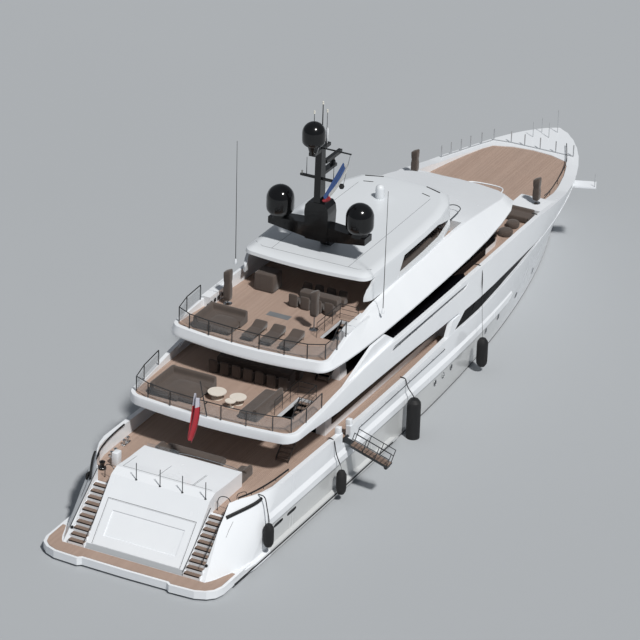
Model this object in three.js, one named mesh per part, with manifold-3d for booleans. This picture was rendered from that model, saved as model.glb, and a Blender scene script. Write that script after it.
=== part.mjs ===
// Motor yacht about 59 m long, afloat, as a 1:2 scale model.
// All tables are in full-size metres: X to starboard, Y forward from the stern, Z up from the waterline.
// The group at the end scales them to the model's millimetres and puts the origin amidships.
import * as THREE from 'three';
import { mergeVertices } from 'three/addons/utils/BufferGeometryUtils.js';
import Module from 'manifold-3d';

const wasm = await Module();
wasm.setup();

// Driving dimensions
const LENGTH = 59.5;
const MODEL_SCALE = 500;
const MAIN_DECK = 3.1;
const UPPER_DECK = 5.95;
const SUN_DECK = 8.55;
const HARDTOP = 11.1;
const PLATFORM = 0.6;
const FORE_DECK = 5.7;
const TEAK = 0.06;
const GAP = 0.001;
const RUNNING_GAP = 0.014;
const POST_LIFT = 0.012;
const HIGH = 14;

// Materials
function paint(color, roughness, metalness = 0) {
  return new THREE.MeshStandardMaterial({ color, roughness, metalness });
}
const WHITE = paint(0xe8ebee, 0.3);
const ROOF_WHITE = paint(0xdfe2e4, 0.4);
const TEAK_WOOD = paint(0xb59a8a, 0.8);
const DARK_GLASS = paint(0x0b0d10, 0.08, 0.2);
const BLACK = paint(0x0a0a0b, 0.18);
const STEEL = paint(0x9a9d9f, 0.3, 0.9);
const BRONZE = paint(0x9c7a45, 0.35, 0.9);
const FABRIC = paint(0x6f6259, 0.9);
const CREAM = paint(0xe6ddd0, 0.6);
const RUBBER = paint(0x101011, 0.7);

// Closed solids
function solidOf(geometry) {
  const bare = geometry.clone();
  bare.deleteAttribute('normal');
  bare.deleteAttribute('uv');
  const merged = mergeVertices(bare, 1e-5);
  const corners = merged.index.array;
  const kept = [];
  for (let i = 0; i < corners.length; i += 3) {
    const [a, b, c] = [corners[i], corners[i + 1], corners[i + 2]];
    if (a !== b && b !== c && c !== a) kept.push(a, b, c);
  }
  const vertProperties = new Float32Array(merged.attributes.position.array);
  return new wasm.Manifold(new wasm.Mesh({ numProp: 3, vertProperties, triVerts: new Uint32Array(kept) }));
}

function geometryOf(solid) {
  const mesh = solid.getMesh();
  const geometry = new THREE.BufferGeometry();
  geometry.setAttribute('position', new THREE.BufferAttribute(mesh.vertProperties, 3));
  geometry.setIndex(new THREE.BufferAttribute(mesh.triVerts, 1));
  return geometry;
}

const join = (...solids) => solids.flat().reduce((sum, one) => sum.add(one));
const cut = (solid, ...tools) => tools.flat().reduce((rest, tool) => rest.subtract(tool), solid);

function box(x0, x1, y0, y1, z0, z1) {
  const shape = new THREE.BoxGeometry(x1 - x0, y1 - y0, z1 - z0);
  shape.translate((x0 + x1) / 2, (y0 + y1) / 2, (z0 + z1) / 2);
  return solidOf(shape);
}

// A flat outline of [a, b] points pushed along the third axis between two places
function extrude(points, depth, basis, shift) {
  const shape = new THREE.Shape(points.map(([a, b]) => new THREE.Vector2(a, b)));
  const geometry = new THREE.ExtrudeGeometry(shape, { depth, bevelEnabled: false });
  geometry.applyMatrix4(basis);
  geometry.translate(...shift);
  return solidOf(geometry);
}
const AXIS_X = new THREE.Vector3(1, 0, 0);
const AXIS_Y = new THREE.Vector3(0, 1, 0);
const AXIS_Z = new THREE.Vector3(0, 0, 1);
const SIDE_BASIS = new THREE.Matrix4().makeBasis(AXIS_Y, AXIS_Z, AXIS_X);
const CROSS_BASIS = new THREE.Matrix4().makeBasis(AXIS_X, AXIS_Z, AXIS_Y.clone().negate());
const PLAN_BASIS = new THREE.Matrix4();
const sidePlate = (yz, x0, x1) => extrude(yz, x1 - x0, SIDE_BASIS, [x0, 0, 0]);
const crossPlate = (xz, y0, y1) => extrude(xz, y1 - y0, CROSS_BASIS, [0, y1, 0]);
const planPlate = (xy, z0, z1) => extrude(xy, z1 - z0, PLAN_BASIS, [0, 0, z0]);

// A round bar between two places, its ends of radius r0 and r1
function bar(from, to, r0, r1 = r0, sides = 10) {
  const a = new THREE.Vector3(...from);
  const b = new THREE.Vector3(...to);
  const along = b.clone().sub(a);
  const geometry = new THREE.CylinderGeometry(r1, r0, along.length(), sides);
  const turn = new THREE.Quaternion().setFromUnitVectors(AXIS_Y, along.normalize());
  geometry.applyQuaternion(turn);
  geometry.translate(...a.add(b).multiplyScalar(0.5).toArray());
  return solidOf(geometry);
}

// A turned body standing at a place, from [radius, height] rows that start and end on the axis
function turned(rows, place, sides = 20) {
  const geometry = new THREE.LatheGeometry(rows.map(([r, h]) => new THREE.Vector2(r, h)), sides);
  geometry.rotateX(Math.PI / 2);
  geometry.translate(...place);
  return solidOf(geometry);
}

// A square bar through a list of places, mitred at each in plan
function rail(places, wide, tall = wide) {
  const path = places.map((place) => new THREE.Vector3(...place));
  const corners = [];
  path.forEach((here, i) => {
    const before = path[Math.max(0, i - 1)];
    const after = path[Math.min(path.length - 1, i + 1)];
    const along = after.clone().sub(before).setZ(0).normalize();
    const across = new THREE.Vector3(along.y, -along.x, 0).multiplyScalar(wide / 2);
    const up = AXIS_Z.clone().multiplyScalar(tall / 2);
    for (const [a, b] of [[1, -1], [1, 1], [-1, 1], [-1, -1]]) {
      corners.push(...here.clone().addScaledVector(across, a).addScaledVector(up, b).toArray());
    }
  });
  const last = (path.length - 1) * 4;
  const faces = [0, 1, 2, 0, 2, 3, last, last + 2, last + 1, last, last + 3, last + 2];
  for (let i = 0; i + 1 < path.length; i += 1) {
    for (let k = 0; k < 4; k += 1) {
      const [a, b] = [i * 4 + k, i * 4 + ((k + 1) % 4)];
      faces.push(a, a + 4, b + 4, a, b + 4, b);
    }
  }
  const geometry = new THREE.BufferGeometry();
  geometry.setAttribute('position', new THREE.BufferAttribute(new Float32Array(corners), 3));
  geometry.setIndex(faces);
  return solidOf(geometry);
}

// Plan outlines: the starboard half as [x, y] points from the stern end to the bow end
function lookUp(table, at) {
  if (at <= table[0][0]) return table[0][1];
  for (let i = 1; i < table.length; i += 1) {
    const [a, va] = table[i - 1];
    const [b, vb] = table[i];
    if (at <= b) return va + ((vb - va) * (at - a)) / (b - a);
  }
  return table[table.length - 1][1];
}

function inset(half, distance) {
  const full = half.map(([x, y]) => new THREE.Vector2(x, y));
  const mirrored = (v) => new THREE.Vector2(-v.x, v.y);
  return full.map((here, i) => {
    let before = i > 0 ? full[i - 1] : mirrored(here);
    let after = i < full.length - 1 ? full[i + 1] : mirrored(here);
    if (i === 0 && here.x < 1e-6) before = mirrored(after);
    if (i === full.length - 1 && here.x < 1e-6) after = mirrored(before);
    const first = here.clone().sub(before).normalize();
    const second = after.clone().sub(here).normalize();
    const n1 = new THREE.Vector2(-first.y, first.x);
    const n2 = new THREE.Vector2(-second.y, second.x);
    const middle = n1.clone().add(n2).normalize();
    const reach = distance / Math.max(0.35, middle.dot(n1));
    const moved = here.clone().addScaledVector(middle, reach);
    return [Math.max(0, moved.x), moved.y];
  });
}

// A body whose rings are plan outlines, lowest first; each ring is { half, z } with z a number or a rule of y
function rings(levels) {
  const count = levels[0].half.length;
  const places = [];
  for (const { half, z } of levels) {
    const height = typeof z === 'function' ? z : () => z;
    for (const [x, y] of half) places.push(x, y, height(y));
    for (const [x, y] of [...half].reverse()) places.push(-x, y, height(y));
  }
  const size = count * 2;
  const faces = [];
  for (let level = 0; level + 1 < levels.length; level += 1) {
    for (let k = 0; k < size; k += 1) {
      const next = (k + 1) % size;
      const [a, b] = [level * size + k, level * size + next];
      const [c, d] = [a + size, b + size];
      faces.push(a, b, d, a, d, c);
    }
  }
  const top = (levels.length - 1) * size;
  for (let k = 0; k + 1 < count; k += 1) {
    const [s0, s1, p1, p0] = [k, k + 1, size - 2 - k, size - 1 - k];
    faces.push(s0, p1, s1, s0, p0, p1);
    faces.push(top + s0, top + s1, top + p1, top + s0, top + p1, top + p0);
  }
  const geometry = new THREE.BufferGeometry();
  geometry.setAttribute('position', new THREE.BufferAttribute(new Float32Array(places), 3));
  geometry.setIndex(faces);
  return solidOf(geometry);
}

const slab = (half, z0, z1) => rings([{ half, z: z0 }, { half, z: z1 }]);

// A plate whose plan is a starboard half outline and its mirror image
function evenPlate(half, z0, z1) {
  const port = half.filter(([x]) => x > 0).reverse();
  return planPlate([...half, ...port.map(([x, y]) => [-x, y])], z0, z1);
}
const between = (y0, y1) => box(-HIGH, HIGH, y0, y1, -HIGH, HIGH * 2);

// A stern end: a gently bulging edge and round corners, then the side rows that follow
function sternOutline(edge, bulge, width, radius, side, steps = 5) {
  const half = [];
  const flat = width - radius;
  for (let i = 0; i < 4; i += 1) {
    const x = (flat * i) / 4;
    half.push([x, edge - bulge * (1 - (x / width) ** 2)]);
  }
  const start = edge - bulge * (1 - (flat / width) ** 2);
  for (let i = 0; i <= steps; i += 1) {
    const angle = (Math.PI / 2) * (i / steps);
    half.push([flat + radius * Math.sin(angle), start + radius * (1 - Math.cos(angle))]);
  }
  return [...half, ...side];
}

// Hull
const HULL_LEVELS = [
  // z, half breadth, half breadth aft, y of the aft end, y of the stem,
  // y where it narrows, fullness, bluntness, corner
  [-3.1, 0.5, 0.3, 15.0, 47.0, 20, 2.0, 1.0, 0],
  [-2.9, 2.7, 1.6, 13.0, 50.0, 20, 2.0, 1.0, 0],
  [-2.4, 4.3, 3.2, 10.0, 53.0, 20, 1.9, 0.95, 0],
  [-1.5, 5.3, 4.6, 6.0, 56.0, 20, 1.95, 0.85, 0],
  [-0.7, 5.7, 5.3, 1.5, 57.5, 21, 2.1, 0.8, 0],
  [0.0, 5.84, 5.5, 0.92, 58.3, 22, 2.25, 0.8, 0.5],
  [0.6, 5.85, 5.7, 0.92, 58.45, 22, 2.3, 0.8, 1.1],
  [2.1, 5.86, 5.74, 2.27, 58.8, 24, 2.6, 0.8, 1.3],
  [3.5, 5.87, 5.76, 3.54, 59.0, 26, 3.0, 0.78, 1.55],
  [5.0, 5.87, 5.78, 4.89, 59.2, 28, 3.9, 0.76, 1.65],
  [7.0, 5.87, 5.78, 6.7, 59.5, 30, 4.4, 0.72, 1.65],
];
const HULL_STEPS = 32;
const AFT_STEPS = [0, 0.3, 0.7, 1.2, 1.8, 2.6, 3.5];
const CORNER_REACH = 3.5;

function hullHalf([, wide, wideAft, aft, stem, middle, fullness, bluntness, corner], grow = 0) {
  const start = aft + CORNER_REACH;
  const half = [];
  for (let i = 0; i < HULL_STEPS; i += 1) {
    const t = (i - AFT_STEPS.length + 1) / (HULL_STEPS - AFT_STEPS.length);
    const y = i < AFT_STEPS.length ? aft + AFT_STEPS[i] : start + (stem - start) * (1 - (1 - t) ** 1.4);
    let x = wide;
    if (y < 20) x -= (wide - wideAft) * ((20 - y) / (20 - aft)) ** 2;
    if (y > middle) x = wide * Math.max(0, 1 - ((y - middle) / (stem - middle)) ** fullness) ** bluntness;
    x -= corner * Math.max(0, 1 - (y - aft) / CORNER_REACH) ** 1.6;
    const atStem = i === HULL_STEPS - 1;
    half.push([atStem ? 0 : x + grow, atStem ? y + grow : y]);
  }
  return half;
}

function hullForm(grow = 0) {
  const ring = (row) => ({ half: hullHalf(row, grow), z: row[0] - (row[0] < 0 ? grow : 0) });
  return rings(HULL_LEVELS.map(ring));
}
const levelAt = (z) => HULL_LEVELS.find((row) => row[0] === z);

const SHEER = [
  // y, z
  [-1, 3.96], [3.95, 3.96], [4.7, 4.12], [6, 4.08], [15, 3.88], [18, 3.74], [24, 3.74], [28.5, 3.9],
  [31, 4.0], [31, 6.95], [40, 6.95], [43, 6.86], [46, 6.5], [49, 6.05], [52, 5.82], [54, 5.75], [61, 5.75],
];
const TRANSOM_FOOT = [0.92, PLATFORM];
const TRANSOM_HEAD = [3.95, 3.96];
const BLOCK_RISE = [4.56, 4.19];
const BLOCK_END = 7.74;
const BLOCK_HALF = 3.21;
const STAIR_OUT = 4.3;
const BULWARK = 0.3;
const GATE = [15.2, 16.2];
const SILL_DROP = 0.02;
const FORE_END = 31;
const FORE_STEP = 46.34;
const FORE_TEAK = [
  // x, y of the sunk foredeck
  [0, FORE_STEP], [2.95, FORE_STEP], [2.95, 46.47], [4.62, 46.47], [4.45, 48.2], [4.1, 49.9], [3.6, 51.85],
  [3.1, 53.4], [2.7, 54.2], [1.4, 54.7], [0, 54.85],
];
const SIDE_BLOCK = [2.95, 44.45, 46.47, 6.46];
const WINDOW_AFT = [30.35, 4.03];
const WINDOW_FORE = [44.6, 4.88];
const HULL_WINDOW = [
  // y, lower edge, upper edge of the dark band in the hull side, between its two pointed ends
  [31.75, 3.99, 4.86], [34.0, 3.97, 4.82], [36.0, 4.12, 4.85], [38.5, 4.36, 4.93], [41.2, 4.62, 4.96],
];
const STRUT = [
  // y, z of the slanting pillar at the fore end of the side deck
  [29.24, 3.6], [31.1, 3.6], [31.1, 4.86], [30.0, 4.86],
];
const CAP_SLOT = [
  // y, z of the long slot under the upper deck's hand rail
  [21.4, 6.35], [31.6, 6.35], [32.2, 6.62], [22.0, 6.62],
];
const DOOR_HALF = 2.8;
const DOOR_FROM = 0.36;
const DOOR_TO = 3.1;
const DOOR_THICK = 0.22;

function transomAt(along, inward = 0) {
  const slope = new THREE.Vector2(...TRANSOM_HEAD).sub(new THREE.Vector2(...TRANSOM_FOOT)).normalize();
  return [
    TRANSOM_FOOT[0] + slope.x * along + slope.y * inward,
    TRANSOM_FOOT[1] + slope.y * along - slope.x * inward,
  ];
}

const PLATFORM_HALF = [
  // x, y
  [0, -0.16], [2.75, -0.12], [2.98, -0.3], [4.55, -0.22], [5.2, 0.04], [5.6, 0.42], [5.78, 1.0], [5.8, 4.2],
];

function deckWell() {
  const inner = inset(hullHalf(levelAt(3.5)), BULWARK);
  const well = slab(inner, MAIN_DECK - TEAK, HIGH).intersect(between(4.3, FORE_END));
  return cut(well, box(-BLOCK_HALF, BLOCK_HALF, 0, BLOCK_END, 0, HIGH));
}

// The side decks and the sunk foredeck, grown by a clearance where the teak fits in
function foreWell(less = 0) {
  const side = slab(inset(hullHalf(levelAt(7.0)), BULWARK + less), UPPER_DECK - TEAK + less, HIGH);
  const [x, y0, y1, top] = SIDE_BLOCK;
  const block = box(x - less, 9, y0 - less, y1 + less, 0, top);
  return cut(side.intersect(between(FORE_END + less - 0.001, FORE_STEP + 0.01)), block, mirrored(block));
}

function windowOutline(less) {
  const low = HULL_WINDOW.map(([y, z]) => [y, z + less]);
  const high = HULL_WINDOW.map(([y, , z]) => [y, z - less]).reverse();
  const aft = [WINDOW_AFT[0] + 8 * less, WINDOW_AFT[1] + less];
  const fore = [WINDOW_FORE[0] - 30 * less, WINDOW_FORE[1]];
  return [aft, ...low, fore, ...high];
}

const windowCut = (depth) => cut(sidePlate(windowOutline(0), -8, 8), hullForm(-depth));

function hullGlass(side) {
  const [x0, x1] = side > 0 ? [1, 8] : [-8, -1];
  return cut(sidePlate(windowOutline(0.003), x0, x1).intersect(hullForm(-0.05)), hullForm(-0.13));
}

// The steps from the platform to the main deck
function sternStairs(side) {
  const steps = 10;
  const rise = (MAIN_DECK - PLATFORM) / steps;
  const going = 3.1 / steps;
  const outline = [[0.9, PLATFORM - 0.3]];
  for (let i = 0; i < steps; i += 1) {
    outline.push([0.9 + going * i, PLATFORM + rise * (i + 1)]);
    outline.push([0.9 + going * (i + 1), PLATFORM + rise * (i + 1)]);
  }
  outline.push([4.4, MAIN_DECK - TEAK], [4.4, PLATFORM - 0.3]);
  const [x0, x1] = side > 0 ? [BLOCK_HALF, STAIR_OUT] : [-STAIR_OUT, -BLOCK_HALF];
  return sidePlate(outline.reverse(), x0, x1);
}

// A long rail on the hull side: out is how far its foot stands proud, and its top slopes back to the side
function ledge(level, out, z0, z1, z2, y0, y1, taper) {
  const foot = inset(hullHalf(levelAt(level)), -out);
  const head = inset(hullHalf(levelAt(level)), 0.02);
  const outline = [[y0, z0], [y1 - taper, z0], [y1, (z0 + z1) / 2], [y1 - taper / 3, z2], [y0, z2]];
  const band = rings([{ half: foot, z: z0 }, { half: foot, z: z1 }, { half: head, z: z2 }]);
  return band.intersect(sidePlate(outline, -8, 8));
}

function wholeHull() {
  let body = cut(hullForm(), sidePlate([...SHEER, [61, HIGH], [-1, HIGH]], -8, 8));
  body = cut(body, box(BLOCK_HALF, STAIR_OUT, 0.4, 4.31, PLATFORM, HIGH));
  body = cut(body, box(-STAIR_OUT, -BLOCK_HALF, 0.4, 4.31, PLATFORM, HIGH));
  const blockSide = [
    TRANSOM_FOOT, [BLOCK_END, PLATFORM], [BLOCK_END, TRANSOM_HEAD[1]], BLOCK_RISE, TRANSOM_HEAD,
  ];
  const block = sidePlate(blockSide, -BLOCK_HALF, BLOCK_HALF);
  const platform = evenPlate(PLATFORM_HALF, 0.14, PLATFORM);
  const railLow = ledge(0.6, 0.22, 0.14, 0.5, PLATFORM, 0.9, 22.5, 2.4);
  const railHigh = ledge(2.1, 0.16, 2.1, 2.5, 2.82, 6.05, 40.3, 0.9);
  const strut = sidePlate(STRUT, -5.86, 5.86).intersect(hullForm());
  body = join(body, block, platform, railLow, railHigh, sternStairs(1), sternStairs(-1), strut);
  const bowWell = evenPlate(FORE_TEAK, FORE_DECK - TEAK, HIGH);
  const slot = sidePlate(CAP_SLOT, 5.2, 6.4);
  const gate = box(5, 7, ...GATE, MAIN_DECK - SILL_DROP, 6);
  body = cut(body, deckWell(), foreWell(), bowWell, windowCut(0.16));
  body = cut(body, slot, mirrored(slot), gate, mirrored(gate));
  const frame = [DOOR_FROM - RUNNING_GAP, DOOR_TO + RUNNING_GAP, DOOR_THICK + RUNNING_GAP];
  const recess = sidePlate([
    transomAt(frame[1], -0.5), transomAt(frame[1], frame[2]),
    transomAt(frame[0], frame[2]), transomAt(frame[0], -0.5),
  ], -DOOR_HALF - RUNNING_GAP, DOOR_HALF + RUNNING_GAP);
  const garage = sidePlate([
    transomAt(DOOR_FROM + 0.15, 0), [7.3, 0.9], [7.3, 3.5], [3.9, 3.3], transomAt(DOOR_TO - 0.15, 0),
  ], -DOOR_HALF + 0.12, DOOR_HALF - 0.12);
  body = cut(body, recess, garage);
  const tunnel = bar([-8, 48.6, -1.25], [8, 48.6, -1.25], 0.42, 0.42, 14);
  const skeg = sidePlate([[3.4, -0.8], [16, -2.4], [16, -3.1], [14.5, -3.0], [3.4, -1.0]], -0.16, 0.16);
  const skegFoot = sidePlate([[5.2, -1.2], [5.2, -2.7], [6.2, -3.1], [17, -3.1], [17, -2.0]], -0.16, 0.16);
  return cut(join(body, skeg, skegFoot), tunnel);
}

// The hull's pieces: the stern and the lower hull up to the main deck, above it two bulwarks and the foreship
const STERN_END = 7.8;
const DECK_BASE = MAIN_DECK - TEAK;
const bulwarkZone = (less) => box(STAIR_OUT + less, 9, -1, FORE_END - less, DECK_BASE + less, HIGH);
const foreZone = (less) => box(-9, 9, FORE_END, 62, DECK_BASE + less, HIGH);

function hullPieces() {
  const whole = wholeHull();
  const lower = cut(whole, bulwarkZone(0), mirrored(bulwarkZone(0)), foreZone(0));
  return {
    hull: lower.intersect(between(STERN_END + GAP, 62)),
    stern: lower.intersect(between(-2, STERN_END)),
    foreship: whole.intersect(foreZone(GAP)),
    bulwark_port: whole.intersect(mirrored(bulwarkZone(GAP))),
    bulwark_stbd: whole.intersect(bulwarkZone(GAP)),
  };
}

// Underwater gear
const SHAFT_X = 2.5;
const SHAFT_Z = -2.4;
const PROP_Y = 4.7;
const RUDDER_Y = 3.0;

function shaftLine(side) {
  const x = side * SHAFT_X;
  const line = bar([x, PROP_Y + 0.34, SHAFT_Z], [x, 13.0, SHAFT_Z], 0.13);
  const barrel = bar([x, PROP_Y + 0.5, SHAFT_Z], [x, PROP_Y + 1.3, SHAFT_Z], 0.24, 0.24, 12);
  const [y, z] = [PROP_Y, SHAFT_Z];
  const outline = [[y + 0.6, z], [y + 1.2, z], [y + 1.5, -0.8], [y + 0.8, -0.8]];
  const strut = sidePlate(outline, x - 0.07, x + 0.07);
  return cut(join(line, barrel, strut), hullForm(GAP));
}

function propeller(side) {
  const place = [side * SHAFT_X, PROP_Y, SHAFT_Z];
  const hubRows = [[0, -0.32], [0.2, -0.3], [0.26, 0.1], [0.2, 0.3], [0.06, 0.62], [0, 0.64]];
  const hub = turned(hubRows, [0, 0, 0], 14);
  const blades = [];
  for (let i = 0; i < 5; i += 1) {
    const shape = new THREE.Shape();
    shape.moveTo(0.14, -0.1);
    shape.quadraticCurveTo(0.5, -0.42, 0.82, -0.16);
    shape.quadraticCurveTo(0.94, 0.06, 0.78, 0.22);
    shape.quadraticCurveTo(0.45, 0.36, 0.14, 0.12);
    const blade = new THREE.ExtrudeGeometry(shape, { depth: 0.045, bevelEnabled: false, curveSegments: 3 });
    blade.translate(0, 0, -0.022);
    blade.rotateX(side * 0.55);
    blade.rotateZ((Math.PI * 2 * i) / 5);
    blades.push(solidOf(blade));
  }
  const wheel = geometryOf(join(hub, blades));
  wheel.rotateX(Math.PI / 2);
  wheel.translate(...place);
  return solidOf(wheel);
}

function rudder(side) {
  const x = side * SHAFT_X;
  const rows = [[-1.0, 0], [-0.75, 0.07], [-0.2, 0.13], [0.2, 0.12], [0.36, 0.05], [0.4, 0]];
  const outline = [...rows.map(([y, w]) => [w, y]), ...rows.slice(1, -1).reverse().map(([y, w]) => [-w, y])];
  const blade = planPlate(outline.map(([w, y]) => [x + w, RUDDER_Y + y]), -3.0, -1.32);
  return join(blade, bar([x, RUDDER_Y, -1.5], [x, RUDDER_Y, -1.0], 0.11));
}

const FIN_ROOT = [4.6, 27, -2.05];
const FIN_DIP = 0.85;
function stabiliser(side) {
  const outline = [[-0.8, 0], [0.8, 0], [0.55, 1.15], [-0.65, 1.15]];
  const fin = new THREE.ExtrudeGeometry(new THREE.Shape(outline.map((p) => new THREE.Vector2(...p))),
    { depth: 0.16, bevelEnabled: false });
  fin.translate(0, 0, -0.08);
  fin.applyMatrix4(new THREE.Matrix4().makeBasis(AXIS_Y, AXIS_X, AXIS_Z.clone().negate()));
  const whole = geometryOf(join(solidOf(fin), bar([-0.06, 0, 0], [0.2, 0, 0], 0.13)));
  whole.rotateY(FIN_DIP);
  whole.translate(...FIN_ROOT);
  if (side < 0) {
    whole.rotateZ(Math.PI);
    whole.translate(0, FIN_ROOT[1] * 2, 0);
  }
  return solidOf(whole);
}

// Transom door, hinged along its upper outer edge
function transomDoor() {
  const quad = [
    transomAt(DOOR_FROM, 0), transomAt(DOOR_FROM, DOOR_THICK),
    transomAt(DOOR_TO, DOOR_THICK), transomAt(DOOR_TO, 0),
  ];
  const facet = [transomAt(2.6, -0.1), transomAt(2.5, 0.06), transomAt(1.0, 0.06), transomAt(0.9, -0.1)];
  return cut(sidePlate(quad, -DOOR_HALF, DOOR_HALF), sidePlate(facet, -2.35, 2.35));
}

// Main deck house
const HOUSE_SIDE = 4.5;
const HOUSE_WALL = 0.18;
const SALOON_AFT = 15.6;
const SKY_AFT = 17.4;
const UPPER_SIDE = 4.45;

function mainTeak() {
  const inner = inset(hullHalf(levelAt(3.5)), BULWARK + GAP);
  const deck = slab(inner, MAIN_DECK - TEAK + GAP, MAIN_DECK).intersect(between(4.32, FORE_END - GAP));
  return cut(deck, box(-BLOCK_HALF - GAP, BLOCK_HALF + GAP, 0, BLOCK_END + GAP, 0, HIGH));
}

function mainHouse() {
  const foot = MAIN_DECK + GAP;
  const head = UPPER_DECK - 0.36 - GAP;
  const outer = box(-HOUSE_SIDE, HOUSE_SIDE, SALOON_AFT, FORE_END - GAP, foot, head);
  const inner = box(-HOUSE_SIDE + HOUSE_WALL, HOUSE_SIDE - HOUSE_WALL, SALOON_AFT + HOUSE_WALL, 40, 0, 20);
  const doorway = box(-3.9, 3.9, 0, SALOON_AFT + 1, foot, head - 0.3);
  const windows = [];
  for (let i = 0; i < 5; i += 1) {
    const y = 16.6 + i * 2.8;
    windows.push(box(-8, 8, y, y + 2.55, foot + 0.55, head - 0.3));
  }
  return cut(outer, inner, doorway, windows);
}

function mainGlass(side) {
  const [x0, x1] = side > 0 ? [HOUSE_SIDE + GAP, HOUSE_SIDE + 0.04] : [-HOUSE_SIDE - 0.04, -HOUSE_SIDE - GAP];
  return box(x0, x1, 16.4, 30.6, MAIN_DECK + 0.45, UPPER_DECK - 0.6);
}

// Aft glazing: two fixed lights under one head, and a leaf on each side that slides in front of them
function fixedLights(y, foot, head) {
  const light = box(1.1, 3.9 - GAP, y + 0.06, y + 0.1, foot + GAP, head - GAP);
  return join(light, mirrored(light), box(-1.2, 1.2, y + 0.06, y + 0.1, head - 0.12, head - GAP));
}

function slidingLeaf(side, y, foot, head) {
  const [x0, x1] = side > 0 ? [0.012, 1.25] : [-1.25, -0.012];
  return box(x0, x1, y - 0.09, y - 0.04, foot + 0.02, head - 0.02);
}

// Upper deck with its side fascia
const UPPER_SIDE_ROWS = [
  // x, y
  [5.6, 11.5], [5.68, 13], [5.72, 15], [5.76, 18], [5.8, 21], [5.84, 25], [5.86, 28],
  [5.87, FORE_END], [5.87, FORE_END + 3],
];
const UPPER_HALF = sternOutline(9.55, 0.42, 5.56, 1.0, UPPER_SIDE_ROWS);
const UPPER_LOW = [
  // y, z of the lower edge
  [9.2, 5.3], [10.2, 5.42], [12, 5.4], [15, 5.2], [20, 5.18], [25, 5.1], [28, 4.98], [FORE_END, 4.88],
];
const UPPER_TOP = [
  // y, z of the cap
  [9.2, 6.03], [10.5, 6.05], [12.5, 6.2], [15, 6.5], [18, 6.8], [20, 6.93], [34, 6.95],
];
const GUARD = 0.2;

function upperDeck() {
  const shape = rings([
    { half: inset(UPPER_HALF, 0.22), z: (y) => lookUp(UPPER_LOW, y) },
    { half: inset(UPPER_HALF, 0.02), z: (y) => lookUp(UPPER_LOW, y) + 0.14 },
    { half: UPPER_HALF, z: (y) => lookUp(UPPER_LOW, y) + 0.42 },
    { half: inset(UPPER_HALF, 0.01), z: (y) => lookUp(UPPER_TOP, y) - 0.06 },
    { half: inset(UPPER_HALF, 0.04), z: (y) => lookUp(UPPER_TOP, y) },
  ]);
  const well = slab(inset(UPPER_HALF, 0.09 + GUARD), UPPER_DECK - TEAK, HIGH);
  const under = slab(inset(UPPER_HALF, 0.5), 0, UPPER_DECK - 0.36);
  const slot = sidePlate(CAP_SLOT, 5.2, 6.4);
  const wing = sidePlate([[15.6, 6.4], [22.6, 6.7], [21.2, 7.62], [19.4, 7.62]], 5.36, 5.56);
  const stairs = box(3.3, 4.3, 11.6, 14.4, 5, 7);
  const shell = cut(shape, well.intersect(between(9.4, 40)), under, slot, mirrored(slot), stairs);
  return join(shell, wing, mirrored(wing)).intersect(between(0, FORE_END - GAP));
}

function mirrored(solid) {
  const geometry = geometryOf(solid);
  const places = geometry.attributes.position.array;
  for (let i = 0; i < places.length; i += 3) places[i] = -places[i];
  const corners = geometry.index.array;
  for (let i = 0; i < corners.length; i += 3) [corners[i], corners[i + 1]] = [corners[i + 1], corners[i]];
  return solidOf(geometry);
}

function upperTeak() {
  const deck = slab(inset(UPPER_HALF, 0.09 + GUARD + GAP), UPPER_DECK - TEAK + GAP, UPPER_DECK);
  const stairs = box(3.3 - GAP, 4.3 + GAP, 11.6 - GAP, 14.4 + GAP, 5, 7);
  return cut(deck.intersect(between(0, FORE_END - GAP)), stairs);
}

function foreTeak() {
  const deck = foreWell(GAP).intersect(between(0, FORE_STEP)).intersect(box(-9, 9, 0, 60, 0, UPPER_DECK));
  const [x] = SIDE_BLOCK;
  const edge = x - GAP;
  const riser = box(-edge, edge, FORE_STEP + GAP, FORE_STEP + 0.06, FORE_DECK - TEAK + GAP, UPPER_DECK);
  const tread = box(-edge, edge, FORE_STEP - 0.2, FORE_STEP + 0.06, UPPER_DECK - 0.05, UPPER_DECK);
  const bow = evenPlate(inset(FORE_TEAK, GAP), FORE_DECK - TEAK + GAP, FORE_DECK);
  return join(deck, riser, tread, bow);
}

// Upper house with the wheelhouse at its front
const UPPER_HOUSE_FRONT = [
  // x, y
  [UPPER_SIDE, 36.5], [4.44, 39.1], [4.2, 39.9], [3.6, 41.0], [2.6, 42.0], [1.4, 42.6], [0, 42.8],
];
const HOUSE_RAKE = 0.13;
function upperHouseHalf(share, out = 0) {
  const half = [[UPPER_SIDE, SKY_AFT], ...UPPER_HOUSE_FRONT];
  const raked = half.map(([x, y]) => [x, y > 36.5 ? 36.5 + (y - 36.5) * (1 - HOUSE_RAKE * share) : y]);
  return inset(raked, 0.05 * share - out);
}

function upperHouse() {
  const foot = UPPER_DECK + GAP;
  const head = 8.0 - GAP;
  const outer = rings([{ half: upperHouseHalf(0), z: foot }, { half: upperHouseHalf(1), z: head }]);
  const inner = rings([
    { half: upperHouseHalf(0, -HOUSE_WALL), z: foot - 0.1 },
    { half: upperHouseHalf(1, -HOUSE_WALL), z: head + 0.1 },
  ]);
  const doorway = box(-3.9, 3.9, 0, SKY_AFT + 1, foot, head - 0.1);
  const windows = [];
  for (let i = 0; i < 7; i += 1) {
    const y = 18.4 + i * 2.6;
    windows.push(box(-8, 8, y, y + 2.35, foot + 0.5, head - 0.2));
  }
  const front = box(-3.6, 3.6, 40, 46, foot + 0.9, head - 0.2);
  const posts = [-2.2, -0.75, 0.75, 2.2].map((x) => box(x - 0.08, x + 0.08, 40, 46, foot, head));
  return cut(outer, inner, doorway, windows, cut(front, posts));
}

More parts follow.
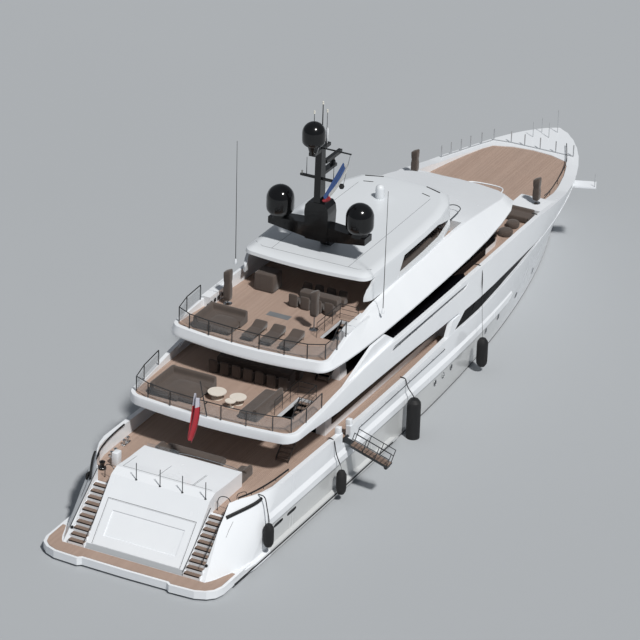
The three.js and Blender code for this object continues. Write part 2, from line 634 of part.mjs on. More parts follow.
function upperGlass() {
  const low = UPPER_DECK + GAP;
  const high = 8.0 - GAP;
  const skin = (out) => rings([
    { half: upperHouseHalf(0, out), z: low }, { half: upperHouseHalf(1, out), z: high },
  ]);
  const band = cut(skin(0.045), skin(GAP * 2));
  return band.intersect(box(-8, 8, 18.2, 60, low + 0.42, high - 0.1));
}

// Sun deck, its sloping sides and the wheelhouse roof
const SUN_SIDE_ROWS = [
  // x, y of the lower edge
  [5.46, 16.2], [5.5, 18], [5.54, 21], [5.55, 25], [5.52, 29], [5.44, 33], [5.3, 36], [5.05, 38.6],
  [4.74, 40.7], [4.25, 42.1], [3.3, 42.8], [1.7, 43.2], [0, 43.35],
];
const SUN_HALF = sternOutline(14.1, 0.55, 5.36, 0.9, SUN_SIDE_ROWS);
const SUN_LOW = [
  // y, z of the lower edge
  [13.5, 7.9], [14.5, 8.02], [19, 7.78], [24, 7.72], [36, 7.74], [40, 7.76], [43.4, 7.76],
];
const SUN_TOP = [
  // y, z of the coaming top
  [13.5, 8.62], [15, 8.68], [17, 9.0], [19, 9.3], [22, 9.42], [34, 9.42], [38, 9.0], [41, 8.5], [43.4, 8.12],
];
const SUN_LEAN = [
  // y, how far the top stands inboard of the lower edge
  [13.5, 0.1], [15, 0.2], [17, 0.5], [20, 0.8], [24, 1.05], [36, 1.05], [40, 0.8], [43.4, 0.45],
];

function sunRing(share, extra = 0) {
  const low = SUN_HALF;
  return low.map(([x, y], i) => {
    const lean = lookUp(SUN_LEAN, y) * share + extra;
    return inset(low, lean)[i];
  });
}

// White deck lockers along both sides
function sunLockers(more = 0) {
  return bothSides([[4.62, 17.4], [4.62, 18.34], [4.62, 19.28]]).map(([x, y]) => {
    const [x0, x1, y0, y1] = [x - 0.3 - more, x + 0.3 + more, y - more, y + 0.86 + more];
    return box(x0, x1, y0, y1, SUN_DECK - 0.1, SUN_DECK + 0.66);
  });
}

function sunDeck() {
  const height = (share) => (y) => lookUp(SUN_LOW, y) * (1 - share) + lookUp(SUN_TOP, y) * share;
  const shape = rings([
    { half: sunRing(0, 0.2), z: (y) => lookUp(SUN_LOW, y) },
    { half: sunRing(0, 0.02), z: (y) => lookUp(SUN_LOW, y) + 0.05 },
    { half: sunRing(0, 0), z: (y) => lookUp(SUN_LOW, y) + 0.16 },
    { half: sunRing(0.35), z: height(0.45) },
    { half: sunRing(0.96), z: height(0.97) },
    { half: sunRing(1.0, 0.06), z: height(1) },
  ]);
  const well = slab(sunRing(1, 0.24), SUN_DECK - TEAK, HIGH).intersect(between(13.6, 34.6));
  const under = slab(inset(SUN_HALF, 0.55), 0, 8.0);
  const rooms = slab(inset(SUN_HALF, 1.35), 0, 8.25).intersect(between(0, 40));
  const stairs = box(3.1, 4.1, 17.2, 20.0, 7, 9);
  return cut(join(cut(shape, well, under, rooms), sunLockers()), stairs);
}

function sunTeak() {
  const deck = slab(sunRing(1, 0.24 + GAP), SUN_DECK - TEAK + GAP, SUN_DECK);
  const stairs = box(3.1 - GAP, 4.1 + GAP, 17.2 - GAP, 20.0 + GAP, 7, 9);
  return cut(deck.intersect(between(0, 34.6 - GAP)), stairs, sunLockers(GAP));
}

// Hardtop: a shell open at the stern, with a long opening in each side
const HARDTOP_SIDE = [
  // x, y
  [4.26, 23], [4.28, 26], [4.24, 29], [4.12, 31.4], [3.8, 33.2], [3.1, 34.7], [1.8, 35.3], [0, 35.5],
];
const HARDTOP_HALF = sternOutline(21.2, 0.35, 4.24, 0.7, HARDTOP_SIDE);

function hardtop() {
  const foot = 9.43;
  const shape = rings([
    { half: inset(HARDTOP_HALF, -0.12), z: foot },
    { half: inset(HARDTOP_HALF, 0), z: 10.7 },
    { half: inset(HARDTOP_HALF, 0.06), z: 10.92 },
    { half: inset(HARDTOP_HALF, 0.3), z: 11.05 },
    { half: inset(HARDTOP_HALF, 0.64), z: HARDTOP },
  ]);
  const inner = slab(inset(HARDTOP_HALF, 0.16), 0, 10.72);
  const aft = sidePlate([[15, 0], [19.6, 0], [20.8, 9.4], [22.2, 10.72], [15, 10.72]], -8, 8);
  const stern = box(-4.0, 4.0, 15, 22.5, 0, 10.72);
  const opening = sidePlate([[25.0, 9.55], [33.4, 9.62], [33.9, 9.85], [31.0, 10.6], [26.0, 10.6]], -8, 8);
  const front = sidePlate([[36.8, 9.3], [35.3, 10.7], [34.0, 12], [38, 12]], -8, 8);
  const slit = [-1, 1].map((side) => box(side * 1.85 - 0.35, side * 1.85 + 0.35, 34.0, 37, 10.1, 10.3));
  const small = dome([-0.27, 31.72, 11.72], 0.28, 0.68);
  return join(cut(shape, inner, aft, stern, opening, front, slit), small);
}

// Mast with its housing, arms, domes, radar arm and light pole
const RADAR = [0, 24.5, 16.6];
const DOME_X = 2.67;

function mast() {
  const foot = HARDTOP + GAP;
  const post = sidePlate([[23.9, foot], [25.2, foot], [24.0, 12.6], [22.9, 12.6]], -0.33, 0.33);
  const column = sidePlate([[22.5, 12.5], [23.3, 12.5], [23.1, 17.9], [22.6, 17.9]], -0.21, 0.21);
  const housing = crossPlate([
    [-0.72, 11.95], [0.72, 11.95], [0.8, 13.7], [0.74, 14.15], [0.55, 14.4],
    [-0.55, 14.4], [-0.74, 14.15], [-0.8, 13.7],
  ], 22.5, 23.6);
  const arms = crossPlate([
    [-0.7, 12.0], [0.7, 12.0], [3.25, 12.34], [3.25, 12.76],
    [0.7, 12.95], [-0.7, 12.95], [-3.25, 12.76], [-3.25, 12.34],
  ], 22.55, 23.5);
  const seat = bar([DOME_X, 23.0, 12.7], [DOME_X, 23.0, 13.15], 0.55, 0.5, 14);
  const sideDome = dome([DOME_X, 23.0, 13.93], 0.855);
  const yard = box(-1.25, 1.25, 22.7, 22.84, 15.86, 16.0);
  const radarArm = box(-0.2, 0.2, 22.8, RADAR[1] + 0.2, RADAR[2] - 0.54, RADAR[2] - 0.36);
  const radarPost = bar([0, RADAR[1], RADAR[2] - 0.4], [0, RADAR[1], RADAR[2] - 0.16], 0.22, 0.16, 12);
  const head = box(-0.2, 0.2, 21.7, 23.8, 17.72, 17.92);
  const pedestal = bar([0, 21.9, 17.8], [0, 21.9, 18.5], 0.22, 0.42, 14);
  const topDome = dome([0, 21.9, 19.16], 0.7);
  const pole = bar([0, 23.0, 17.8], [0, 23.0, 20.6], 0.045, 0.03, 8);
  return join(
    post, column, housing, arms, yard, radarArm, radarPost, head, pedestal, topDome, pole,
    seat, mirrored(seat), sideDome, mirrored(sideDome),
  );
}

// A dome on straight sides with a flat foot
function dome(place, radius, drop = radius * 1.03) {
  const rows = [[0, -drop], [radius * 0.84, -drop], [radius * 0.97, -drop * 0.82], [radius, -drop * 0.6]];
  for (let i = 0; i <= 7; i += 1) {
    const angle = (Math.PI / 2) * (i / 7);
    rows.push([i === 7 ? 0 : radius * Math.cos(angle), radius * Math.sin(angle)]);
  }
  return turned(rows, place, 22);
}

function radar(place, span) {
  const [x, y, z] = place;
  const beam = box(x - 0.12, x + 0.12, y - span / 2, y + span / 2, z, z + 0.22);
  return join(beam, bar([x, y, z - 0.12], [x, y, z + 0.05], 0.12, 0.12, 12));
}

// Gangway from the starboard gate, and the folding step on the starboard bow
const GANGWAY_HEAD = [5.74, (GATE[0] + GATE[1]) / 2, 3.22];
const GANGWAY_DIP = 0.3;
function gangway() {
  const length = 3.15;
  const half = 0.33;
  const board = box(0.45, length, -half, half, -0.12, 0);
  const roller = bar([0, -0.42, 0], [0, 0.42, 0], 0.09, 0.09, 10);
  const parts = [board, roller, box(0, 0.6, -0.26, 0.26, -0.06, 0)];
  for (const side of [-1, 1]) {
    const y = side * (half - 0.04);
    parts.push(postRail([0.55, 1.4, 2.25, 3.08].map((x) => [x, y, -0.06]), 1.0, [0.98, 0.55], 0.04));
  }
  const geometry = geometryOf(join(parts));
  geometry.rotateY(GANGWAY_DIP);
  geometry.translate(...GANGWAY_HEAD);
  return solidOf(geometry);
}

const BOW_STEP = [3.66, 53.4, 4.7];
const BOW_STEP_TURN = 0.38;
function bowStep() {
  const board = box(0.1, 1.55, -0.5, 0.5, -0.1, 0);
  const pin = bar([0.02, -0.5, -0.05], [0.02, 0.5, -0.05], 0.05, 0.05, 10);
  const root = box(0.02, 0.2, -0.4, 0.4, -0.09, -0.01);
  const geometry = geometryOf(join(board, pin, root));
  geometry.rotateZ(BOW_STEP_TURN);
  geometry.translate(...BOW_STEP);
  return solidOf(geometry);
}

// Rails with square posts: places are the foot points, top the height of the hand rail
function postRail(places, top, shares = [1], wide = 0.05) {
  const half = wide / 2;
  const posts = places.map(([x, y, z]) => box(x - half, x + half, y - half, y + half, z, z + top));
  const rails = shares.map((share) => rail(places.map(([x, y, z]) => [x, y, z + top * share]), wide * 0.9));
  return join(posts, rails);
}

function bothSides(rows) {
  return [...rows.map(([x, y, z]) => [-x, y, z]).reverse(), ...rows];
}

function upperRail() {
  const rows = [[0.9, 9.34], [2.5, 9.42], [4.1, 9.66], [5.1, 10.05], [5.36, 11.4], [5.42, 13.2]];
  const rails = postRail(bothSides(rows.map(([x, y]) => [x, y, lookUp(UPPER_TOP, y) + POST_LIFT])), 0.95);
  const staff = bar([0, 9.3, 6.1], [0, 8.45, 8.7], 0.04, 0.03, 8);
  return join(rails, staff, box(-0.03, 0.03, 9.0, 9.36, 6.95, 7.0));
}

function sunRail() {
  const rows = [[0.9, 13.86], [2.5, 13.96], [3.9, 14.16], [4.85, 14.62], [5.0, 15.8], [4.86, 17.2]];
  return postRail(bothSides(rows.map(([x, y]) => [x, y, lookUp(SUN_TOP, y) + POST_LIFT])), 0.95);
}

// Bow stanchions on one low foot rail along the port edge and across the fore deck
function bowRail() {
  const rows = [
    // x, y
    [-4.62, 50.1], [-4.38, 51.1], [-4.1, 52.1], [-3.82, 53.0], [-3.45, 54.0], [-3.0, 55.0],
    [-1.8, 55.2], [-0.8, 55.2], [0.35, 55.2], [1.5, 55.2], [2.8, 55.2],
  ];
  return postRail(rows.map(([x, y]) => [x, y, lookUp(SHEER.slice(9), y) + 0.03]), 0.82, [0], 0.06);
}

// Deck furniture under its covers, as plain closed shapes
function sofa(x0, x1, y0, y1, floor, backs, seat = 0.46, back = 0.82) {
  const bases = [box(x0, x1, y0, y1, floor + GAP, floor + seat)];
  for (const [a, b, c, d] of backs) bases.push(box(a, b, c, d, floor + GAP, floor + back));
  return join(bases);
}

function roundTable(x, y, floor, radius, top) {
  const rows = [
    [0, 0], [radius * 0.6, 0], [radius * 0.6, 0.03], [0.06, 0.06], [0.06, top - 0.06],
    [radius, top - 0.05], [radius, top], [0, top],
  ];
  return turned(rows, [x, y, floor + GAP], 24);
}

function lounger(x, y, floor) {
  const side = [[0, 0.2], [2.1, 0.26], [2.1, 0.44], [1.5, 0.36], [0, 0.34]];
  const pad = sidePlate(side.map(([along, up]) => [y + along, floor + up]), x - 0.37, x + 0.37);
  const foot = (at) => box(x - 0.3, x + 0.3, y + at, y + at + 0.1, floor + GAP, floor + 0.3);
  const feet = [foot(0.15), foot(1.75)];
  return join(pad, feet);
}

// A closed umbrella: a foot, a pole and a square cover with cut corners
const COVER_HALF = 0.23;
function umbrella(x, y, floor, foot, top) {
  const rows = [
    [0, 0], [0.28, 0], [0.28, 0.06], [0.05, 0.08],
    [0.05, foot], [COVER_HALF * 0.8, foot + 0.2], [0, foot + 0.2],
  ];
  const [long, short] = [COVER_HALF, COVER_HALF * 0.6];
  const corners = [
    [long, -short], [long, short], [short, long], [-short, long],
    [-long, short], [-long, -short], [-short, -long], [short, -long],
  ].map(([a, b]) => [x + a, y + b]);
  return join(turned(rows, [x, y, floor + GAP], 16), planPlate(corners, floor + foot + 0.18, floor + top));
}

function fender(x, y, foot, length, radius) {
  const rows = [
    [0, 0], [radius * 0.6, 0.05], [radius * 0.95, 0.26], [radius, 0.45], [radius, length - 0.45],
    [radius * 0.95, length - 0.26], [radius * 0.6, length - 0.05], [0, length],
  ];
  return turned(rows, [x, y, foot], 18);
}

// Assembly
const yacht = new THREE.Group();
function add(name, material, solid) {
  const mesh = new THREE.Mesh(geometryOf(solid), material);
  mesh.name = name;
  yacht.add(mesh);
}

for (const [name, solid] of Object.entries(hullPieces())) add(name, WHITE, solid);
add('main_teak', TEAK_WOOD, mainTeak());
add('transom_door', WHITE, transomDoor());
add('main_house', WHITE, mainHouse());
add('upper_deck', WHITE, upperDeck());
add('upper_teak', TEAK_WOOD, upperTeak());
add('fore_teak', TEAK_WOOD, foreTeak());
add('upper_house', WHITE, upperHouse());
add('upper_glass', DARK_GLASS, upperGlass());
add('sun_deck', WHITE, sunDeck());
add('sun_teak', TEAK_WOOD, sunTeak());
add('hardtop', ROOF_WHITE, hardtop());
add('mast', BLACK, mast());
add('radar', BLACK, radar(RADAR, 2.0));
add('gangway', STEEL, gangway());
add('bow_step', WHITE, bowStep());
add('upper_rail', STEEL, upperRail());
add('sun_rail', STEEL, sunRail());
add('bow_rail', STEEL, bowRail());
add('main_light', DARK_GLASS, fixedLights(SALOON_AFT, MAIN_DECK, UPPER_DECK - 0.66));
add('sky_light', DARK_GLASS, fixedLights(SKY_AFT, UPPER_DECK, 7.9));
add('main_sofa', FABRIC, sofa(-3.0, 3.1, 7.8, 8.7, MAIN_DECK, [
  [-3.0, 3.1, 7.8, 8.1], [-3.0, -2.2, 8.0, 9.3], [2.3, 3.1, 8.0, 9.3],
], 0.42, 0.6));
add('upper_sofa_port', FABRIC, sofa(-4.35, -1.3, 10.15, 12.9, UPPER_DECK, [
  [-4.35, -3.95, 10.15, 12.9], [-4.35, -2.4, 12.5, 12.9],
]));
add('upper_sofa_stbd', FABRIC, sofa(1.55, 2.8, 10.2, 13.5, UPPER_DECK, [[2.42, 2.8, 10.6, 13.5]]));
add('upper_table_port', CREAM, roundTable(-0.7, 11.8, UPPER_DECK, 0.56, 0.45));
add('upper_table_stbd', CREAM, join([
  roundTable(0.69, 11.8, UPPER_DECK, 0.5, 0.45),
  roundTable(0.51, 11.2, UPPER_DECK, 0.32, 0.43),
]));
add('sun_sofa', FABRIC, sofa(-3.9, -1.4, 14.5, 16.8, SUN_DECK, [
  [-3.9, -3.5, 15.0, 16.8], [-3.9, -2.8, 16.4, 16.8],
]));
add('lounger_port', FABRIC, lounger(-0.27, 14.5, SUN_DECK));
add('lounger_mid', FABRIC, lounger(0.95, 14.5, SUN_DECK));
add('lounger_stbd', FABRIC, lounger(2.2, 14.5, SUN_DECK));
add('umbrella_sun_port', FABRIC, umbrella(-3.66, 18.4, SUN_DECK, 0.1, 2.3));
add('umbrella_sun_stbd', FABRIC, umbrella(2.4, 17.9, SUN_DECK, 0.75, 2.6));

for (const [side, name] of [[-1, 'port'], [1, 'stbd']]) {
  add(`main_glass_${name}`, DARK_GLASS, mainGlass(side));
  add(`main_door_${name}`, DARK_GLASS, slidingLeaf(side, SALOON_AFT, MAIN_DECK, UPPER_DECK - 0.66));
  add(`sky_door_${name}`, DARK_GLASS, slidingLeaf(side, SKY_AFT, UPPER_DECK, 7.9));
  add(`hull_glass_${name}`, DARK_GLASS, hullGlass(side));
  add(`umbrella_bow_${name}`, FABRIC, umbrella(side * 4.4, 45.5, SIDE_BLOCK[3], 0.08, 1.85));
  const [x0, x1] = [side * 3.1, side * 4.85].sort((a, b) => a - b);
  const foreSofa = sofa(x0, x1, 43.2, 44.4, UPPER_DECK, [[x0, x1, 44.05, 44.4]], 0.42, 0.62);
  add(`fore_sofa_${name}`, FABRIC, foreSofa);
  add(`shaft_${name}`, STEEL, shaftLine(side));
  add(`propeller_${name}`, BRONZE, propeller(side));
  add(`rudder_${name}`, WHITE, rudder(side));
  add(`stabiliser_${name}`, WHITE, stabiliser(side));
}
for (const [name, ...size] of [
  // name, x, y, z of the foot, length, radius
  ['aft', 6.1, 5.64, 1.0, 1.5, 0.31], ['mid_aft', 6.41, 14.1, 0.45, 1.6, 0.31],
  ['mid_fore', 6.56, 23.4, -0.45, 3.1, 0.43], ['fore', 6.46, 33.4, 0.4, 2.0, 0.36],
]) {
  add(`fender_${name}`, RUBBER, fender(...size));
}

const model = new THREE.Group();
yacht.position.set(0, -LENGTH / 2, 0);
model.add(yacht);
model.scale.setScalar(MODEL_SCALE);
export default model;
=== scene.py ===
"""Looks of a motor yacht around its packed 1:2 solids.

Tables hold full-size metres: X to starboard, Y forward from the stern, Z up from the waterline.
model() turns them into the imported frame, where the origin is amidships.
"""
import math

import bmesh
import bpy
import numpy as np
from mathutils import Matrix, Vector


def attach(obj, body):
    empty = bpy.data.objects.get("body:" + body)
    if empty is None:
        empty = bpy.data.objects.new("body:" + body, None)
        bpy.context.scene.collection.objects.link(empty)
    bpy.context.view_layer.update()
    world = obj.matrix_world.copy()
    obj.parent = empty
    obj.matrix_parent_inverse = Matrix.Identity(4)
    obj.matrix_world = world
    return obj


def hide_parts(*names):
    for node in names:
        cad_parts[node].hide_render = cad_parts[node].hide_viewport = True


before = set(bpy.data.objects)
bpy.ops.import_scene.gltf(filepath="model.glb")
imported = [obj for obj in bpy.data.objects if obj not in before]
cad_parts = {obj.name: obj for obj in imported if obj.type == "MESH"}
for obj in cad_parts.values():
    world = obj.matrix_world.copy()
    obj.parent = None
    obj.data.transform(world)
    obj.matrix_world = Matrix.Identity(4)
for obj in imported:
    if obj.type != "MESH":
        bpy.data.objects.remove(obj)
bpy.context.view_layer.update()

SCALE = 0.5
HALF_LENGTH = 29.75
MAIN_DECK, UPPER_DECK, SUN_DECK, FORE_DECK, PLATFORM = 3.1, 5.95, 8.55, 5.7, 0.6
RUB_RAIL_AFT, RUB_RAIL_FORE, RUB_RAIL_Z = 6.15, 40.0, 2.03
BOOT_STRIPE_TOP, BOOT_STRIPE_FOOT = 0.11, -0.12
ENSIGN_SPLIT_Z = 7.35
WHITE_TONE, WHITE_SHADE = (0.86, 0.885, 0.915), (0.74, 0.77, 0.81)


def model(places):
    """Full-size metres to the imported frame: moved back by half the length, then halved."""
    return (np.asarray(places, float) - [0.0, HALF_LENGTH, 0.0]) * SCALE


def add(name, data):
    """A new object in the scene."""
    made = bpy.data.objects.new(name, data)
    bpy.context.scene.collection.objects.link(made)
    return made


# Camera
EYE = (88.47177, -153.19124, 103.43603)
YAW, PITCH, ROLL = -0.4643075, 0.4571842, 0.0313569
FOCAL_PX, FRAME_PX, SENSOR = 3630.079, 640, 36.0
CLIP_RANGE = (1.0, 1000.0)


def set_camera():
    """The camera looks along yaw and down by pitch; roll then turns its right and up directions."""
    ahead = np.array([math.sin(YAW) * math.cos(PITCH), math.cos(YAW) * math.cos(PITCH), -math.sin(PITCH)])
    level = np.array([math.cos(YAW), -math.sin(YAW), 0.0])
    upright = np.cross(level, ahead)
    right = math.cos(ROLL) * level + math.sin(ROLL) * upright
    up = math.cos(ROLL) * upright - math.sin(ROLL) * level
    turn = np.eye(4)
    turn[:3, 0], turn[:3, 1], turn[:3, 2], turn[:3, 3] = right, up, -ahead, model(EYE)
    data = bpy.data.cameras.new("camera")
    data.sensor_fit = "HORIZONTAL"
    data.sensor_width = SENSOR
    data.lens = FOCAL_PX / FRAME_PX * SENSOR
    data.clip_start, data.clip_end = CLIP_RANGE
    camera = add("camera", data)
    camera.matrix_world = Matrix(turn.tolist())
    bpy.context.scene.camera = camera


# Finishes
class Finish:
    """A shader whose colour, roughness and relief vary by patterns on Object coordinates."""

    def __init__(self, name, color, roughness, metallic=0.0, **sockets):
        self.material = bpy.data.materials.new(name)
        self.material.use_nodes = True
        self.tree = self.material.node_tree
        self.shader = self.tree.nodes["Principled BSDF"]
        self.shader.inputs["Base Color"].default_value = (*color, 1.0)
        self.shader.inputs["Roughness"].default_value = roughness
        self.shader.inputs["Metallic"].default_value = metallic
        for socket, value in sockets.items():
            self.shader.inputs[socket.replace("_", " ")].default_value = value
        self.color = None
        self.place = self.tree.nodes.new("ShaderNodeTexCoord").outputs["Object"]

    def node(self, kind, inputs=(), output=0, **settings):
        """A node with its settings and its inputs, each a number or another node's output."""
        made = self.tree.nodes.new(kind)
        for key, value in settings.items():
            setattr(made, key, value)
        for key, value in dict(inputs).items():
            if isinstance(value, bpy.types.NodeSocket):
                self.tree.links.new(value, made.inputs[key])
            else:
                made.inputs[key].default_value = value
        return made.outputs[output]

    def sum(self, kind, first, second=0.0):
        """One step of arithmetic on two values."""
        return self.node("ShaderNodeMath", {0: first, 1: second}, operation=kind)

    def axis(self, which):
        """A coordinate of the place, by its letter."""
        return self.node("ShaderNodeSeparateXYZ", {0: self.place}, output="XYZ".index(which))

    def noise(self, scale, stretch=(1, 1, 1), detail=4.0):
        """Cloudy noise of a scale, drawn out along the axes by stretch."""
        place = self.node("ShaderNodeMapping", {"Vector": self.place, "Scale": stretch})
        return self.node("ShaderNodeTexNoise", {"Vector": place, "Scale": scale, "Detail": detail})

    def lines(self, value, pitch, share):
        """1 on a line that takes up a share of each pitch along a value, else 0."""
        within = self.sum("FRACT", self.sum("DIVIDE", value, pitch))
        return self.sum("LESS_THAN", within, share)

    def shade(self, value, low, high):
        """Stretches a cloudy value between a low and a high number."""
        sockets = {"Value": value, "From Min": 0.3, "From Max": 0.7, "To Min": low, "To Max": high}
        return self.node("ShaderNodeMapRange", sockets)

    def tint(self, amount, color):
        """Mixes a colour over what is there by an amount."""
        base = self.color or tuple(self.shader.inputs["Base Color"].default_value)
        sockets = {0: amount, 6: base, 7: (*color, 1.0)}
        self.color = self.node("ShaderNodeMix", sockets, output=2, data_type="RGBA")
        self.tree.links.new(self.color, self.shader.inputs["Base Color"])
        return self

    def cloud(self, value, amount, color):
        """Mixes in a colour by up to an amount, where a cloudy value is high."""
        return self.tint(self.shade(value, 0.0, amount), color)

    def gloss(self, value, low, high):
        """Lets the roughness follow a cloudy value."""
        self.tree.links.new(self.shade(value, low, high), self.shader.inputs["Roughness"])
        return self

    def relief(self, value, depth, strength=0.6):
        """A bump of a depth that follows a value."""
        sockets = {"Strength": strength, "Distance": depth, "Height": value}
        normal = self.node("ShaderNodeBump", sockets)
        self.tree.links.new(normal, self.shader.inputs["Normal"])
        return self


def scaled(color, factor):
    """A colour made lighter or darker by a factor."""
    return tuple(factor * value for value in color)


def make_paint(name, color, shadow, roughness):
    """Sprayed gloss paint: faint clouds of tone, a little streaking downwards and a soft orange peel."""
    paint = Finish(name, color, roughness, Coat_Weight=0.35, Coat_Roughness=0.08)
    clouds = paint.noise(0.35)
    streaks = paint.noise(1.6, (1, 1, 0.08))
    paint.cloud(clouds, 0.35, shadow)
    paint.cloud(streaks, 0.18, shadow)
    paint.gloss(streaks, roughness * 0.8, roughness * 1.3)
    return paint.relief(paint.noise(9.0, detail=1.0), 0.002, 0.12)


def make_hull_paint_and_shade():
    """The white paint, greyed by painted shade under the rub rail, with a black boot stripe and dark
    antifouling below it.
    """
    paint = make_paint("hull_paint_and_shade", WHITE_TONE, WHITE_SHADE, 0.22)
    along, height = paint.axis("Y"), paint.axis("Z")
    # Painted shade: grey mixed in under the rub rail, from its aft end, fading out towards the bow.
    aft, shade_fade_from, shade_fade_to = [(y - HALF_LENGTH) * SCALE for y in (RUB_RAIL_AFT, 35.0, 44.0)]
    shade_fade = {"Value": along, "From Min": shade_fade_from, "From Max": shade_fade_to, "To Min": 0.8, "To Max": 0.0}
    amount = paint.node("ShaderNodeMapRange", shade_fade)
    amount = paint.sum("MULTIPLY", amount, paint.sum("LESS_THAN", height, RUB_RAIL_Z * SCALE))
    amount = paint.sum("MULTIPLY", amount, paint.sum("GREATER_THAN", along, aft))
    paint.tint(amount, (0.5, 0.51, 0.505))
    paint.tint(paint.sum("LESS_THAN", height, BOOT_STRIPE_TOP * SCALE), (0.012, 0.013, 0.015))
    return paint.tint(paint.sum("LESS_THAN", height, BOOT_STRIPE_FOOT * SCALE), (0.03, 0.06, 0.1))


def make_teak(name, pitch=0.05, along="X", tone=1.0):
    """Laid planks: dark seams a pitch apart, a tone for each plank, and grain drawn out along the planks."""
    shades = [(0.43, 0.31, 0.25), (0.3, 0.205, 0.16), (0.52, 0.4, 0.33), (0.36, 0.275, 0.23)]
    base, dark, pale, grey = tone * np.array(shades)
    teak = Finish(name, base, 0.75, Specular_IOR_Level=0.25)
    across = teak.axis(along)
    plank = teak.sum("FLOOR", teak.sum("DIVIDE", across, pitch))
    each = teak.node("ShaderNodeTexWhiteNoise", {"W": plank}, noise_dimensions="1D")
    stretch = (6, 0.5, 6) if along == "X" else (0.5, 6, 6)
    grain = teak.noise(9.0, stretch, 6.0)
    weather = teak.noise(0.9)
    teak.tint(teak.sum("MULTIPLY", each, 0.55), dark)
    teak.cloud(grain, 0.35, pale)
    teak.cloud(weather, 0.3, grey)
    seam = teak.lines(across, pitch, 0.1)
    teak.tint(teak.sum("MULTIPLY", seam, 0.75), (0.1, 0.08, 0.07))
    teak.gloss(grain, 0.62, 0.82)
    return teak.relief(teak.sum("SUBTRACT", grain, seam), 0.002, 0.35)


def make_smooth(name, color, roughness, size, amount, tone, gloss, **sockets):
    """Glass, lacquer or gloss paint: clouds of a size mix in a tone by an amount, and shift the gloss."""
    smooth = Finish(name, color, roughness, **sockets)
    clouds = smooth.noise(size)
    smooth.cloud(clouds, amount, tone)
    return smooth.gloss(clouds, *gloss)


def make_glass(name, color, specular):
    """Dark tinted glass: near black and glossy."""
    paler = scaled(color, 2.2)
    return make_smooth(name, color, 0.05, 0.5, 0.5, paler, (0.03, 0.09), Specular_IOR_Level=specular)


def make_lacquer(name, color):
    """Satin lacquer."""
    return make_smooth(name, color, 0.4, 2.2, 0.35, scaled(color, 0.8), (0.3, 0.5), Coat_Weight=0.2)


def make_metal(name, color, roughness):
    """Polished or cast metal: fine brushing and faint stains."""
    metal = Finish(name, color, roughness, 1.0)
    stains = metal.noise(3.0)
    metal.cloud(stains, 0.3, scaled(color, 0.6))
    return metal.gloss(metal.noise(30.0, (1, 1, 8)), roughness * 0.7, roughness * 1.4)


def make_cloth(name, color, dark, thread=0.012):
    """Woven cloth: two sets of threads crossing, soft creases and sun-bleached clouds."""
    cloth = Finish(name, color, 0.9, Sheen_Weight=0.25, Sheen_Roughness=0.5)
    warp = cloth.lines(cloth.sum("ADD", cloth.axis("X"), cloth.axis("Z")), thread, 0.5)
    weft = cloth.lines(cloth.sum("ADD", cloth.axis("Y"), cloth.axis("Z")), thread, 0.5)
    weave = cloth.sum("MULTIPLY", cloth.sum("ADD", warp, weft), 0.5)
    creases = cloth.noise(4.0, (1, 1, 0.5), 6.0)
    cloth.tint(cloth.sum("MULTIPLY", weave, 0.25), dark)
    cloth.cloud(creases, 0.45, dark)
    cloth.cloud(cloth.noise(1.1), 0.25, scaled(color, 1.5))
    return cloth.relief(cloth.sum("ADD", creases, cloth.sum("MULTIPLY", weave, 0.15)), 0.012, 0.5)


def make_rubber(name, color=(0.012, 0.012, 0.013), dust=(0.04, 0.04, 0.04)):
    """Rubber or matt trim: scuffs, dust and a fine grain."""
    rubber = Finish(name, color, 0.6, Specular_IOR_Level=0.3)
    scuffs = rubber.noise(5.0, (1, 1, 0.3), 6.0)
    rubber.cloud(scuffs, 0.35, dust)
    rubber.gloss(scuffs, 0.45, 0.8)
    return rubber.relief(rubber.noise(60.0), 0.002, 0.3)


HULL_PAINT_AND_SHADE = make_hull_paint_and_shade()
WHITE = make_paint("white_paint", WHITE_TONE, WHITE_SHADE, 0.22)
ROOF = make_paint("roof_paint", (0.74, 0.77, 0.8), (0.66, 0.69, 0.72), 0.35)
GREY = make_paint("grey_paint", (0.42, 0.44, 0.46), (0.34, 0.36, 0.38), 0.4)
TEAK = make_teak("deck_teak")
TREAD_TEAK = make_teak("tread_teak", 0.03, "Y", 0.55)
GLASS = make_glass("tinted_glass", (0.004, 0.005, 0.006), 0.14)
# Near-black glass with little reflection, also used as painted shade: on the hull's side lenses it stands for
# the shaded side deck behind them, and it darkens the upper side decks.
SIDE_GLASS_AND_SHADE = make_glass("side_glass_and_shade", (0.003, 0.003, 0.004), 0.03)
CLEAR = make_smooth("clear_glass", (0.3, 0.33, 0.35), 0.05, 0.8, 0.4, (0.2, 0.22, 0.24), (0.03, 0.08),
                    Alpha=0.16, Specular_IOR_Level=0.4)
BLACK = make_smooth("gloss_black", (0.003, 0.003, 0.0035), 0.18, 1.4, 0.5, (0.008, 0.0085, 0.009), (0.1, 0.2),
                    Coat_Weight=0.3, Coat_Roughness=0.05, Specular_IOR_Level=0.4)
STEEL = make_metal("polished_steel", (0.33, 0.34, 0.35), 0.25)
BRIGHT = make_metal("bright_steel", (0.62, 0.63, 0.64), 0.18)
GUNMETAL = make_metal("gunmetal", (0.11, 0.115, 0.12), 0.4)
BRONZE = make_metal("cast_bronze", (0.5, 0.36, 0.18), 0.35)
COVER = make_cloth("taupe_cloth", (0.085, 0.064, 0.053), (0.05, 0.038, 0.032))
CREAM = make_lacquer("cream_lacquer", (0.78, 0.72, 0.64))
RUBBER = make_rubber("black_rubber")
# Matt black trim, also used as painted shade: the line under the rub rail, the block's shadow along the stern
# stairs, and the insides of slots, openings and recesses.
DARK_TRIM_AND_SHADE = make_rubber("dark_trim_and_shade")
